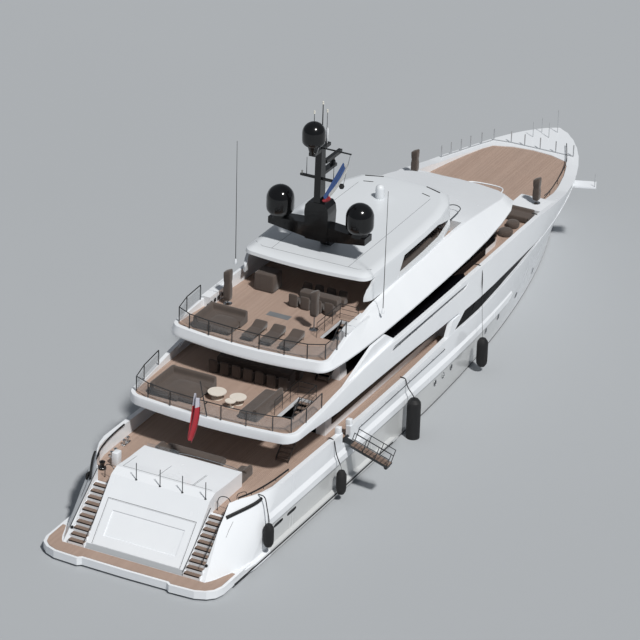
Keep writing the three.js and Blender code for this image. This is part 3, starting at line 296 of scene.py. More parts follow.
# Painted shade: a very dark brown for the stern stair's risers, which stand in shade under each tread.
RISER_SHADE = make_rubber("riser_painted_shade", (0.085, 0.058, 0.045), (0.13, 0.095, 0.075))
SEAM = make_rubber("seam_trim", (0.16, 0.17, 0.18), (0.24, 0.25, 0.26))
LAMP = make_lacquer("lamp_lens", (0.8, 0.78, 0.7))
BUNTING_THREAD = 0.006
FLAG_RED = make_cloth("red_bunting", (0.42, 0.025, 0.04), (0.25, 0.015, 0.025), BUNTING_THREAD)
FLAG_BLUE = make_cloth("blue_bunting", (0.05, 0.12, 0.35), (0.03, 0.07, 0.2), BUNTING_THREAD)
FLAG_WHITE = make_cloth("white_bunting", (0.75, 0.75, 0.73), (0.55, 0.55, 0.55), BUNTING_THREAD)
ENSIGN = make_cloth("ensign_bunting", (0.42, 0.02, 0.035), (0.25, 0.012, 0.02), BUNTING_THREAD)
ENSIGN.tint(ENSIGN.sum("GREATER_THAN", ENSIGN.axis("Z"), ENSIGN_SPLIT_Z * SCALE), (0.5, 0.5, 0.56))


# Surfaces: each is a pair of points, in full-size metres, and faces
def full_turn(count):
    """Even angles round a circle."""
    return np.linspace(0, 2 * math.pi, count, endpoint=False)


def grid(points, closed=False):
    """Four-cornered faces over a grid of points; closed joins last column to first and fills the ends."""
    rows, columns = points.shape[:2]
    index = np.arange(rows * columns).reshape(rows, columns)
    left = index if closed else index[:, :-1]
    right = np.roll(index, -1, axis=1) if closed else index[:, 1:]
    faces = np.stack([left[:-1], right[:-1], right[1:], left[1:]], -1).reshape(-1, 4).tolist()
    if closed:
        faces += [index[0].tolist(), index[-1][::-1].tolist()]
    return points.reshape(-1, 3), faces


def tube(path, radius, sides=8):
    """A ring carried along a path, square to its direction and set off from the plane of the path."""
    path = np.asarray(path, float)
    ahead = np.gradient(path, axis=0)
    ahead /= np.linalg.norm(ahead, axis=1, keepdims=True)
    flat = np.linalg.svd(path - path.mean(axis=0))[2][2]
    side = np.cross(ahead, flat)
    side /= np.linalg.norm(side, axis=1, keepdims=True)
    up = np.cross(side, ahead)
    angle = full_turn(sides)[None, :, None]
    reach = np.broadcast_to(np.asarray(radius, float), len(path))[:, None, None]
    ring = path[:, None] + reach * (np.cos(angle) * side[:, None] + np.sin(angle) * up[:, None])
    return grid(ring, closed=True)


def upright(x, y, low, high, radius=0.02, sides=6):
    """A round post between two heights."""
    return tube([(x, y, low), (x, y, high)], radius, sides)


def bend(start, corner, end, steps):
    """A quadratic curve from start to end, drawn towards a corner."""
    share = np.linspace(0, 1, steps)[:, None]
    return (1 - share) ** 2 * start + 2 * share * (1 - share) * corner + share ** 2 * end


def smooth_path(corners, steps=6):
    """A path through corners with a rounded turn at each: halfway points joined by bends."""
    corners = np.asarray(corners, float)
    middles = (corners[1:] + corners[:-1]) / 2
    turns = [bend(*turn, steps) for turn in zip(middles[:-1], corners[1:-1], middles[1:])]
    path = np.concatenate([corners[:1], *turns, corners[-1:]])
    apart = np.linalg.norm(np.diff(path, axis=0), axis=1) > 1e-5
    return path[np.concatenate([[True], apart])]


def turned(rows, place, sides):
    """A profile of (radius, height) rows turned round an upright axis."""
    rows = np.asarray(rows, float)
    angle = full_turn(sides)[None]
    reach = rows[:, :1]
    points = np.stack([reach * np.cos(angle), reach * np.sin(angle), rows[:, 1:] + 0 * angle], -1)
    return grid(points + np.asarray(place, float), closed=True)


def block(x0, x1, y0, y1, z0, z1, round_by=0.03, steps=3):
    """A ball of unit size whose eight parts are pushed apart to the corners of a box, less the rounding."""
    low, high = np.minimum([x0, y0, z0], [x1, y1, z1]), np.maximum([x0, y0, z0], [x1, y1, z1])
    half = (high - low) / 2
    soft = min(round_by, *half)
    quarter = np.linspace(0, math.pi / 2, steps)
    around = np.concatenate([quarter + math.pi / 2 * k for k in range(4)])
    way_x = np.repeat([1, -1, -1, 1], steps)
    way_y = np.repeat([1, 1, -1, -1], steps)
    rise = np.concatenate([quarter - math.pi / 2, quarter])
    way_z = np.repeat([-1, 1], steps)
    points = np.stack([
        np.cos(rise)[:, None] * np.cos(around) * soft + way_x * (half[0] - soft),
        np.cos(rise)[:, None] * np.sin(around) * soft + way_y * (half[1] - soft),
        (np.sin(rise) * soft + way_z * (half[2] - soft))[:, None] + 0 * around,
    ], -1)
    return grid(points + (low + high) / 2, closed=True)


def pillow(x0, x1, y0, y1, z0, z1, count=14, full=5.0, pull=0.03):
    """A crowned pad: its height falls from the middle as 1 - |u| to a power, and its sides pull in."""
    share = np.sin(np.linspace(-math.pi / 2, math.pi / 2, count))
    u, v = np.meshgrid(share, share, indexing="ij")
    rise = np.sqrt(np.clip((1 - np.abs(u) ** full) * (1 - np.abs(v) ** full), 0, 1))
    x = (x0 + x1) / 2 + (x1 - x0) / 2 * u * (1 - pull * (1 - v ** 2))
    y = (y0 + y1) / 2 + (y1 - y0) / 2 * v * (1 - pull * (1 - u ** 2))
    middle, half = (z0 + z1) / 2, (z1 - z0) / 2
    top = np.stack([x, y, middle + half * rise * (0.92 + 0.08 * np.cos(u * v * 3))], -1)
    base = np.stack([x, y, middle - half * np.minimum(rise * 1.6, 1)], -1)[:, ::-1]
    return merge(grid(top), grid(base))


def draped(profile, start, end, across, count=22, soft=0.12, sag=0.015):
    """A cover over a frame: a side profile carried from start to end, drawn in at both, in shallow folds."""
    profile = np.asarray(profile, float)
    share = np.linspace(-1, 1, count)
    length = abs(end - start)
    reach = 1 - 0.5 * np.clip((np.abs(share) - 1) * length / soft / 2 + 1, 0, 1) ** 3 * soft
    centre = profile.mean(axis=0)
    swing = np.sin(np.arange(count) * 2.1)[:, None, None]
    folds = 1 + sag * swing * np.cos(np.arange(len(profile)) * 1.7)[:, None]
    ring = centre + (profile - centre)[None] * reach[:, None, None] * folds
    ring[..., 1] = np.maximum(ring[..., 1], profile[:, 1].min())
    along = (start + end) / 2 + (end - start) / 2 * share
    if across == "x":
        points = np.stack([along[:, None] + 0 * ring[..., 0], ring[..., 0], ring[..., 1]], -1)
    else:
        points = np.stack([ring[..., 0], along[:, None] + 0 * ring[..., 0], ring[..., 1]], -1)
    return grid(points, closed=True)


def rounded_profile(corners, radius=0.08, steps=4):
    """A closed outline whose corners are rounded by bends."""
    corners = np.asarray(corners, float)
    before, after = np.roll(corners, 1, axis=0), np.roll(corners, -1, axis=0)
    turns = []
    for a, corner, b in zip(before, corners, after):
        first = corner + (a - corner) * min(0.45, radius / np.linalg.norm(a - corner))
        last = corner + (b - corner) * min(0.45, radius / np.linalg.norm(b - corner))
        turns.append(bend(first, corner, last, steps))
    return np.concatenate(turns)


def strip(path, height, thick=0.03):
    """A thin upright wall of a height along a path, with its thickness across the path in plan."""
    path = np.asarray(path, float)
    ahead = np.gradient(path, axis=0)[:, :2]
    ahead /= np.linalg.norm(ahead, axis=1, keepdims=True)
    across = np.stack([ahead[:, 1], -ahead[:, 0], 0 * ahead[:, 0]], -1) * thick / 2
    rise = np.array([0, 0, height])
    ring = np.stack([path - across, path + across, path + across + rise, path - across + rise], 1)
    return grid(ring, closed=True)


def plate(outline, z0, z1):
    """A flat outline in plan, given a thickness upwards."""
    outline = np.asarray(outline, float)
    low = np.column_stack([outline, np.full(len(outline), z0)])
    high = np.column_stack([outline, np.full(len(outline), z1)])
    return grid(np.stack([low, high]), closed=True)


def merge(*surfaces):
    """Several surfaces as one: points stacked, and face numbers moved on by the points before them."""
    points, faces, before = [], [], 0
    for some_points, some_faces in surfaces:
        points.append(some_points)
        faces += [[number + before for number in face] for face in some_faces]
        before += len(some_points)
    return np.concatenate(points), faces


def mirror(surface):
    """The same surface on the other side: X turned over, and each face read the other way."""
    points, faces = surface
    return points * [-1, 1, 1], [face[::-1] for face in faces]


def both(*surfaces):
    """Surfaces and their mirror images."""
    starboard = merge(*surfaces)
    return merge(starboard, mirror(starboard))


def settle(mesh, angle=0.7):
    """Merges double points, turns all faces outwards and keeps edges sharper than an angle crisp."""
    loose = bmesh.new()
    loose.from_mesh(mesh)
    bmesh.ops.remove_doubles(loose, verts=loose.verts, dist=1e-5)
    bmesh.ops.recalc_face_normals(loose, faces=loose.faces)
    loose.to_mesh(mesh)
    loose.free()
    mesh.shade_smooth()
    mesh.set_sharp_from_angle(angle=angle)


def piece(name, finish, *surfaces, body="boat", angle=0.7):
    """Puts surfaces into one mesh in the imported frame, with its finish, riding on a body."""
    points, faces = merge(*surfaces)
    mesh = bpy.data.meshes.new(name)
    mesh.from_pydata(model(points).tolist(), [], faces)
    settle(mesh, angle)
    made = add(name, mesh)
    mesh.materials.append(finish.material)
    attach(made, body)
    return made


def soft(name, node, *surfaces, fill=0.6):
    """A padded cover, which stands for a soft solid where there is one."""
    made = piece(name, COVER, *surfaces, angle=1.2)
    if node:
        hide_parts(node)
    return made


def skin(node, finish, angle=0.5):
    """A merged copy of a solid's mesh, smooth except across sharp edges, which stands for the solid."""
    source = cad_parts[node].data
    points = np.zeros(len(source.vertices) * 3)
    source.vertices.foreach_get("co", points)
    corners = np.zeros(len(source.loops), int)
    source.loops.foreach_get("vertex_index", corners)
    kept, number = np.unique(np.round(points.reshape(-1, 3), 5), axis=0, return_inverse=True)
    faces = number.reshape(-1)[corners].reshape(-1, 3)
    whole = (faces[:, 0] != faces[:, 1]) & (faces[:, 1] != faces[:, 2]) & (faces[:, 2] != faces[:, 0])
    mesh = bpy.data.meshes.new(f"{node}_skin")
    mesh.from_pydata(kept.tolist(), [], faces[whole].tolist())
    mesh.shade_smooth()
    mesh.set_sharp_from_angle(angle=angle)
    mesh.materials.append(finish.material)
    made = add(f"{node}_skin", mesh)
    weighted = made.modifiers.new("weighted", "WEIGHTED_NORMAL")
    weighted.keep_sharp = True
    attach(made, "boat")
    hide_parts(node)


def coat(finish, *nodes):
    """Gives solids that keep their own mesh a finish."""
    for node in nodes:
        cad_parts[node].material_slots[0].material = finish.material


# The hull's form, as in the part's source
HULL_LEVELS = np.array([
    # z, half breadth, the same aft, y aft, y of the stem, y where it narrows, fullness, bluntness
    [0.6, 5.85, 5.7, 0.92, 58.45, 22, 2.3, 0.8],
    [2.1, 5.86, 5.74, 2.27, 58.8, 24, 2.6, 0.8],
    [3.5, 5.87, 5.76, 3.54, 59.0, 26, 3.0, 0.78],
    [5.0, 5.87, 5.78, 4.89, 59.2, 28, 3.9, 0.76],
    [7.0, 5.87, 5.78, 6.7, 59.5, 30, 4.4, 0.72],
])


def half_breadth(y, z):
    """The hull's half breadth: each level is a power curve from where it narrows to the stem, and a height
    between two levels takes a share of both."""
    y, z = np.broadcast_arrays(np.asarray(y, float), np.asarray(z, float))
    levels = []
    for _, wide, wide_aft, aft, stem, narrows, fullness, bluntness in HULL_LEVELS:
        fore = np.clip((y - narrows) / (stem - narrows), 0, 1)
        back = np.clip((20 - y) / (20 - aft), 0, 1)
        levels.append(wide * np.maximum(0, 1 - fore ** fullness) ** bluntness - (wide - wide_aft) * back ** 2)
    levels = np.array(levels)
    at = np.clip(np.interp(z, HULL_LEVELS[:, 0], np.arange(len(HULL_LEVELS))), 0, len(HULL_LEVELS) - 1.001)
    low = at.astype(int)
    share = at - low
    under, over = [np.take_along_axis(levels, row[None], axis=0)[0] for row in (low, low + 1)]
    return under * (1 - share) + over * share


def along_hull(rows, out=0.0, count=80):
    """A path on the starboard side through (y, z) rows, standing out from it by a distance."""
    rows = np.asarray(rows, float)
    y = np.linspace(rows[0, 0], rows[-1, 0], count)
    z = np.interp(y, rows[:, 0], rows[:, 1])
    return np.column_stack([half_breadth(y, z) + out, y, z])


# Solids that keep their own mesh
coat(TEAK, "main_teak", "upper_teak", "fore_teak", "sun_teak")
coat(GLASS, "main_light", "sky_light", "upper_glass")
coat(GUNMETAL, "upper_rail", "sun_rail", "gangway")
coat(GREY, "bow_rail")
coat(BLACK, "radar")
coat(CREAM, "upper_table_port", "upper_table_stbd")
coat(WHITE, "main_house", "transom_door", "bow_step")
for name in ("port", "stbd"):
    coat(GLASS, f"main_glass_{name}", f"main_door_{name}", f"sky_door_{name}")
    # The hull's side lenses are near black: painted shade for the side deck behind them.
    coat(SIDE_GLASS_AND_SHADE, f"hull_glass_{name}")
    coat(STEEL, f"shaft_{name}")
    coat(BRONZE, f"propeller_{name}")
    coat(HULL_PAINT_AND_SHADE, f"rudder_{name}", f"stabiliser_{name}")

# Solids whose mesh is drawn again with smooth shading
for name in ("hull", "stern", "foreship", "bulwark_port", "bulwark_stbd"):
    skin(name, HULL_PAINT_AND_SHADE, angle=0.3)
for name in ("upper_deck", "sun_deck", "upper_house"):
    skin(name, WHITE)
skin("hardtop", ROOF)
skin("mast", BLACK)
for name in ("aft", "mid_aft", "mid_fore", "fore"):
    skin(f"fender_{name}", RUBBER)

PLATFORM_HALF = [
    # x, y
    (0.0, 0.0), (2.8, 0.04), (3.02, -0.14), (4.5, -0.06), (5.06, 0.16), (5.42, 0.5), (5.6, 1.05), (5.62, 2.6),
    (5.42, 2.6), (5.18, 2.0), (5.0, 1.5), (4.82, 1.15), (4.62, 0.88), (0.0, 0.88),
]
platform_edge = PLATFORM_HALF + [(-x, y) for x, y in PLATFORM_HALF[-2:0:-1]]
piece("platform_teak", TEAK, plate(platform_edge, PLATFORM + 0.001, PLATFORM + 0.03))


# Hull side
RIM_OUT, PANE_OUT = 0.012, 0.006


def ring_at(y, z, radius, thick):
    """A flat ring of round bar lying on the hull's starboard side at a height, turned to the side's slope."""
    angle = np.linspace(0, 2 * math.pi, 25)
    ys, zs = y + radius * np.cos(angle), z + radius * np.sin(angle)
    return tube(np.column_stack([half_breadth(ys, zs) + RIM_OUT, ys, zs]), thick, 6)


def squared(value, power):
    """A sine or cosine raised to a power with its sign kept, which squares a circle's corners."""
    return np.sign(value) * np.abs(value) ** power


def disc_at(y, z, wide, tall):
    """A rounded pane on the hull's starboard side, its edge a superellipse, following the side."""
    ring, angle = np.meshgrid(np.linspace(0.02, 1, 4), full_turn(28), indexing="ij")
    ys = y + ring * wide * squared(np.cos(angle), 0.6)
    zs = z + ring * tall * squared(np.sin(angle), 0.6)
    points = np.stack([half_breadth(ys, zs) + PANE_OUT, ys, zs], -1)
    return grid(points, closed=True)


PORTHOLES = [(27.9, 1.5), (29.1, 1.5), (30.3, 1.52), (36.0, 1.52), (38.3, 1.5), (42.0, 1.4), (46.1, 1.3)]
SLOT_WINDOWS = [(7.4, 1.62), (9.0, 1.62)]
piece("porthole_rims", BRIGHT, *[both(ring_at(y, z, 0.19, 0.028)) for y, z in PORTHOLES])
panes = [both(disc_at(y, z, 0.17, 0.17)) for y, z in PORTHOLES]
panes += [both(disc_at(y, z, 0.55, 0.11)) for y, z in SLOT_WINDOWS]
piece("porthole_panes", GLASS, *panes)
rub_rail = [(RUB_RAIL_AFT, RUB_RAIL_Z), (RUB_RAIL_FORE, RUB_RAIL_Z)]
piece("rub_rail_shadow_line", DARK_TRIM_AND_SHADE, both(tube(along_hull(rub_rail, 0.01), 0.04, 6)))
piece("low_rub_rail_cap", DARK_TRIM_AND_SHADE, both(tube(along_hull([(2.0, 0.34), (21.6, 0.34)], 0.225), 0.045, 6)))
KNUCKLE = [
    # y, z
    (31.5, 3.86), (33.7, 3.84), (37.3, 4.05), (39.8, 4.25), (44.0, 4.72), (48.5, 5.1), (54.0, 5.4),
]
piece("hull_knuckle", WHITE, both(tube(along_hull(KNUCKLE, -0.01, 60), 0.035, 6)))

grab = along_hull([(17.2, 3.3), (28.9, 3.42)], 0.07, 30)
brackets = [tube([point - [0.1, 0, -0.05], point], 0.018, 6) for point in grab[1::4]]
piece("bulwark_grab_rail", STEEL, both(tube(grab, 0.025), *brackets))
cap_rail = along_hull([(21.8, 6.48), (31.9, 6.52)], -0.06, 24)
cap_posts = [tube([point - [0, 0, 0.1], point + [0, 0, 0.1]], 0.02, 6) for point in cap_rail[2::5]]
piece("cap_slot_rail", STEEL, both(tube(cap_rail, 0.03), *cap_posts))


def hung_rope(rows):
    """A strap over the cap that goes on down the side as a thin line."""
    run = smooth_path(rows)
    strap_foot = rows[0][2] - 1.6
    return tube(run, np.where(run[:, 2] > strap_foot, 0.035, 0.012), 6)


ROPES = [
    # x, y, z over the cap, then down the side
    [(5.3, 34.0, 7.0), (5.88, 34.1, 7.02), (5.9, 34.15, 5.2), (6.42, 33.4, 2.52), (6.46, 33.4, 2.38)],
    [(5.2, 43.0, 6.92), (5.6, 43.1, 6.9), (5.62, 43.2, 6.2), (5.55, 43.4, 5.7), (5.5, 43.5, 5.4)],
    [(5.5, 23.5, 3.78), (5.9, 23.5, 3.8), (6.0, 23.45, 3.3), (6.5, 23.4, 2.8), (6.56, 23.4, 2.62)],
    [(5.5, 14.1, 3.94), (5.88, 14.1, 3.94), (6.0, 14.1, 3.0), (6.4, 14.1, 2.2), (6.41, 14.1, 2.02)],
    [(5.3, 5.8, 4.1), (5.75, 5.8, 4.1), (5.9, 5.75, 3.4), (6.08, 5.68, 2.8), (6.1, 5.64, 2.48)],
]
piece("fender_ropes", DARK_TRIM_AND_SHADE, *map(hung_rope, ROPES))


# Stern
STAIR_STEPS, STAIR_GOING = 10, 0.31
RISE = (MAIN_DECK - PLATFORM) / STAIR_STEPS
stairs = [(0.9 + STAIR_GOING * i, PLATFORM + RISE * (i + 1)) for i in range(STAIR_STEPS)]
treads = [block(3.25, 4.26, y, y + STAIR_GOING - 0.02, z - 0.09, z + 0.03, 0.012, 2) for y, z in stairs]
risers = [block(3.25, 4.26, y + 0.005, y + 0.028, z - RISE + 0.032, z - 0.092, 0.008, 2) for y, z in stairs]
piece("stern_stair_treads", TREAD_TEAK, both(*treads))
# The risers' dark brown is painted shade under the treads.
piece("stern_stair_risers", RISER_SHADE, both(*risers))
# Painted shadow: a dark line along each stair's inner side, where the block's shadow falls.
block_shadow_line = tube([(3.235, 0.95, 0.98), (3.235, 4.0, 3.5)], 0.022, 6)
stair_rail = tube([(4.26, 1.1, 1.55), (4.26, 4.15, 3.92)], 0.026, 6)
piece("stern_stair_lines", DARK_TRIM_AND_SHADE, both(block_shadow_line, stair_rail))


def transom_at(x, along, out=0.0):
    """A place on the sloping transom: so far up the slope from its foot, and standing out square to it."""
    slope = np.array([3.03, 3.36]) / math.hypot(3.03, 3.36)
    return [x, 0.92 + slope[0] * along - slope[1] * out, 0.6 + slope[1] * along + slope[0] * out]


def on_slope(rows, out, radius):
    """A thin bar through (x, way up the slope) rows on the transom."""
    return tube([transom_at(x, along, out) for x, along in rows], radius, 6)


# A grey strip across the foot of the sloping transom, darker than the white above it.
strip_rows = [(-3.18, 0.02), (3.18, 0.02), (3.18, 0.33), (-3.18, 0.33)]
strip_rings = [[transom_at(x, along, out) for x, along in strip_rows] for out in (0.002, 0.014)]
piece("transom_foot_strip", GREY, grid(np.array(strip_rings), closed=True))
door_rim = [(-2.86, 0.36), (-2.86, 3.16), (2.86, 3.16), (2.86, 0.36)]
frame_lines = [on_slope([a, b], 0.0, 0.013) for a, b in zip(door_rim[:-1], door_rim[1:])]
piece("transom_frame_lines", DARK_TRIM_AND_SHADE, *frame_lines)


def on_block(x, y):
    """A place on the block's gently falling top."""
    return (x, y, 4.192 - (y - 4.56) * 0.0723)


HATCH_SEAMS = [
    # x, y at one end and x, y at the other
    (1.64, 4.7, 1.64, 7.6), (1.72, 4.7, 1.72, 7.6), (-2.9, 4.75, 2.9, 4.75), (-2.9, 7.45, 2.9, 7.45),
    (-2.9, 4.75, -2.9, 7.45), (-0.6, 4.75, -0.6, 7.45),
]
seams = [tube([on_block(x0, y0), on_block(x1, y1)], 0.012, 6) for x0, y0, x1, y1 in HATCH_SEAMS]
piece("block_hatch_seams", SEAM, *seams)
POST_X, POST_Y, POST_FOOT, POST_TOP = (-1.6, -0.05, 1.4, 2.9), 4.0, 3.97, 5.05
post_base = [(0.0, 0), (0.07, 0), (0.07, 0.02), (0.03, 0.05), (0.0, 0.05)]
piece("block_posts", GUNMETAL, *[upright(x, POST_Y, POST_FOOT, POST_TOP, 0.026, 8) for x in POST_X],
      *[turned(post_base, (x, POST_Y, POST_FOOT), 12) for x in POST_X])

gate_hoop = smooth_path([(3.35, 4.6, 3.11), (3.35, 4.6, 4.05), (4.1, 4.75, 4.05), (4.1, 4.75, 3.11)], 8)
low_hoop = smooth_path([(4.5, 4.75, 4.08), (4.5, 4.75, 4.42), (4.8, 5.3, 4.42), (4.8, 5.3, 4.1)], 8)
piece("stair_head_hoops", GUNMETAL, both(tube(gate_hoop, 0.026), tube(low_hoop, 0.022)))
cap_line = [(4.62, 4.72, 4.2), (4.98, 5.6, 4.2), (5.2, 6.6, 4.19), (5.36, 7.8, 4.17), (5.42, 9.2, 4.14)]
cap_feet = [upright(x, y, z - 0.14, z) for x, y, z in cap_line]
piece("quarter_cap_rail", DARK_TRIM_AND_SHADE, both(tube(smooth_path(cap_line), 0.05), *cap_feet))
SLOT_LINE = np.array([
    (4.42, 3.66, 3.4), (4.52, 3.84, 3.43), (4.71, 4.2, 3.5), (5.02, 4.81, 3.6), (5.31, 5.45, 3.7),
    (5.45, 5.95, 3.82),
])
# The thick dark tube along the slot and the short dark plug aft are painted shade inside the slot and the
# fairlead opening.
piece("quarter_fairleads", DARK_TRIM_AND_SHADE, both(tube(smooth_path(SLOT_LINE), 0.085, 8)),
      both(tube([(4.36, 1.57, 1.27), (4.36, 1.51, 1.34)], 0.09, 14)),
      both(tube([(4.74, 3.9, 3.1), (4.72, 3.47, 2.77), (4.71, 3.05, 2.36)], 0.01, 6)))
piece("quarter_slot_lips", BRIGHT, both(tube(smooth_path(SLOT_LINE + [0.03, -0.02, -0.12]), 0.025, 6)))
piece("quarter_cabinet", WHITE, block(-4.5, -4.12, 6.15, 6.7, MAIN_DECK + 0.005, 3.95, 0.05))
piece("quarter_pad", DARK_TRIM_AND_SHADE, mirror(block(4.86, 5.0, 4.05, 4.5, 3.0, 3.4, 0.05)))

plinth = rounded_profile([(8.95, 3.12), (9.75, 3.12), (9.7, 3.5), (9.0, 3.5)], 0.08)
soft("plinth_cover", None, draped(plinth, -2.6, 1.1, "x", 16, 0.1))
hand_rail = smooth_path([(-0.9, 7.7, 3.98), (-0.9, 7.7, 4.25), (2.9, 7.7, 4.25), (2.9, 7.7, 3.98)])
piece("block_hand_rail", BRIGHT, tube(hand_rail, 0.022))
piece("aft_screen", CLEAR, block(-3.0, -0.9, 7.68, 7.7, 3.98, 4.3, 0.004, 2))


def bollard(x, y, z):
    """Two turned posts with rounded heads on a common base."""
    rows = [(0.0, 0), (0.09, 0), (0.075, 0.06), (0.07, 0.24), (0.11, 0.28), (0.11, 0.33), (0.05, 0.37),
            (0.0, 0.37)]
    base = block(x - 0.13, x + 0.13, y - 0.4, y + 0.4, z - 0.01, z + 0.04, 0.02)
    return merge(turned(rows, (x, y - 0.22, z), 14), turned(rows, (x, y + 0.22, z), 14), base)


bollards = [bollard(x, y, MAIN_DECK + 0.01) for x, y in ((5.02, 7.3), (5.12, 8.9))]
piece("stern_bollards", BRIGHT, both(*bollards))
drum_rows = [(0.0, 0), (0.24, 0), (0.24, 0.07), (0.17, 0.12), (0.12, 0.26), (0.17, 0.42), (0.19, 0.46),
             (0.08, 0.53), (0.0, 0.54)]
piece("stern_capstans", BLACK, both(turned(drum_rows, (4.75, 5.55, MAIN_DECK), 22)))

# Rails and glass panels: x and y round a deck's stern end, then y and the height of its cap
UPPER_EDGE = [(0.0, 9.32), (0.9, 9.34), (2.5, 9.42), (4.1, 9.66), (5.1, 10.05), (5.36, 11.4), (5.42, 13.2)]
SUN_EDGE = [(0.0, 13.84), (0.9, 13.86), (2.5, 13.96), (3.9, 14.16), (4.85, 14.62), (5.0, 15.8), (4.86, 17.2)]
UPPER_CAP = [(9.2, 10.5, 12.5, 15, 18), (6.03, 6.05, 6.2, 6.5, 6.8)]
SUN_CAP = [(13.5, 15, 17, 19), (8.62, 8.68, 9.0, 9.3)]


def glass_rail(edge, cap):
    """A glass panel round a deck's stern end, a little inside the edge and a hand's breadth over the cap."""
    inward, gap = 0.045, 0.1
    side = np.array([(x - inward * (x > 0.5), y + inward, np.interp(y, *cap) + gap) for x, y in edge])
    return strip(np.concatenate([side[:0:-1] * [-1, 1, 1], side]), 0.72, 0.018)


piece("upper_rail_panels", CLEAR, glass_rail(UPPER_EDGE, UPPER_CAP))
piece("sun_rail_panels", CLEAR, glass_rail(SUN_EDGE, SUN_CAP))


# Stairs between decks
def flight(x0, x1, y0, y1, z0, z1, steps):
    """Treads and stringers of a straight stair that climbs forward."""
    going, rise = (y1 - y0) / steps, (z1 - z0) / (steps + 1)
    boards = []
    for i in range(steps):
        y, z = y0 + going * i, z0 + rise * (i + 1)
        boards.append(block(x0 + 0.04, x1 - 0.04, y, y0 + going * (i + 1) + 0.02, z - 0.05, z, 0.012, 2))
    sides = [strip(np.linspace([x, y0 - 0.02, z0 + 0.02], [x, y1, z1 - 0.2], 6), 0.24) for x in (x0, x1)]
    return merge(*boards), merge(*sides)


lower_boards, lower_sides = flight(3.42, 4.22, 11.5, 14.3, MAIN_DECK, UPPER_DECK, 12)
upper_boards, upper_sides = flight(3.22, 4.02, 16.7, 19.9, UPPER_DECK, SUN_DECK, 11)
piece("deck_stair_treads", TREAD_TEAK, lower_boards, upper_boards)
piece("deck_stair_sides", GUNMETAL, lower_sides, upper_sides)


def guard(corners, deck, height=0.95, bars=(1.0, 0.66, 0.33), spacing=0.9, radius=0.018):
    """Round posts about a spacing apart along corners, under a hand rail and lower bars."""
    floor = deck + 0.002
    corners = np.asarray(corners, float)
    parts = []
    for a, b in zip(corners[:-1], corners[1:]):
        count = max(1, round(float(np.linalg.norm(b - a)) / spacing))
        for share in np.arange(count) / count:
            parts.append(upright(*(a + (b - a) * share), floor, floor + height, radius, 8))
    parts.append(upright(*corners[-1], floor, floor + height, radius, 8))
    for share in bars:
        path = np.column_stack([corners, np.full(len(corners), floor + height * share)])
        parts += [tube([a, b], radius * (1.2 if share == 1 else 0.8), 8) for a, b in zip(path[:-1], path[1:])]
    return merge(*parts)


piece("stair_guards", GUNMETAL,
      guard([(4.4, 14.5), (3.2, 14.5), (3.2, 11.6)], UPPER_DECK),
      guard([(4.2, 20.1), (3.0, 20.1), (3.0, 17.1)], SUN_DECK),
      guard([(4.4, 11.7), (4.4, 14.5)], UPPER_DECK))


# Soft furniture: covered sofas, pads and umbrellas
def sofa_run(x0, x1, y0, y1, deck, side, seat=0.46, back=0.82, depth=0.34):
    """One covered seat run with its back on one side: minus_x, plus_x, minus_y or plus_y."""
    low, cushion, top = deck + 0.02, deck + seat, deck + back
    along_x = side in ("minus_y", "plus_y")
    a0, a1 = (y0, y1) if along_x else (x0, x1)
    if side in ("minus_y", "minus_x"):
        corners = [(a0, low), (a1, low), (a1, cushion), (a0 + depth, cushion + 0.03),
                   (a0 + depth * 0.8, top), (a0 + 0.03, top)]
    else:
        corners = [(a0, low), (a1, low), (a1 - 0.03, top), (a1 - depth * 0.8, top),
                   (a1 - depth, cushion + 0.03), (a0, cushion)]
    profile = rounded_profile(corners, 0.1)
    start, end = (x0, x1) if along_x else (y0, y1)
    return draped(profile, start, end, "x" if along_x else "y")


soft("aft_sofa", "main_sofa",
     sofa_run(-3.0, 3.1, 7.82, 8.7, MAIN_DECK, "minus_y", 0.42, 0.6),
     sofa_run(-3.0, -2.2, 8.5, 9.3, MAIN_DECK, "minus_x", 0.42, 0.6),
     sofa_run(2.3, 3.1, 8.5, 9.3, MAIN_DECK, "plus_x", 0.42, 0.6))
soft("upper_sofa_port_cover", "upper_sofa_port",
     sofa_run(-4.35, -2.4, 10.17, 12.9, UPPER_DECK, "minus_x"),
     sofa_run(-4.3, -1.32, 11.9, 12.9, UPPER_DECK, "plus_y"),
     pillow(-3.9, -1.35, 10.2, 12.4, UPPER_DECK + 0.05, UPPER_DECK + 0.5))
soft("upper_sofa_stbd_cover", "upper_sofa_stbd",
     sofa_run(1.56, 2.8, 10.22, 13.5, UPPER_DECK, "plus_x"))
soft("sun_sofa_cover", "sun_sofa",
     sofa_run(-3.9, -2.6, 14.52, 16.8, SUN_DECK, "minus_x"),
     sofa_run(-3.9, -1.42, 15.8, 16.8, SUN_DECK, "plus_y"),
     pillow(-3.4, -1.42, 14.52, 16.4, SUN_DECK + 0.05, SUN_DECK + 0.5))
for name, side in (("port", -1), ("stbd", 1)):
    x0, x1 = sorted((side * 3.12, side * 4.83))
    cover = sofa_run(x0, x1, 43.22, 44.38, UPPER_DECK, "plus_y", 0.42, 0.62)
    soft(f"fore_sofa_{name}_cover", f"fore_sofa_{name}", cover)

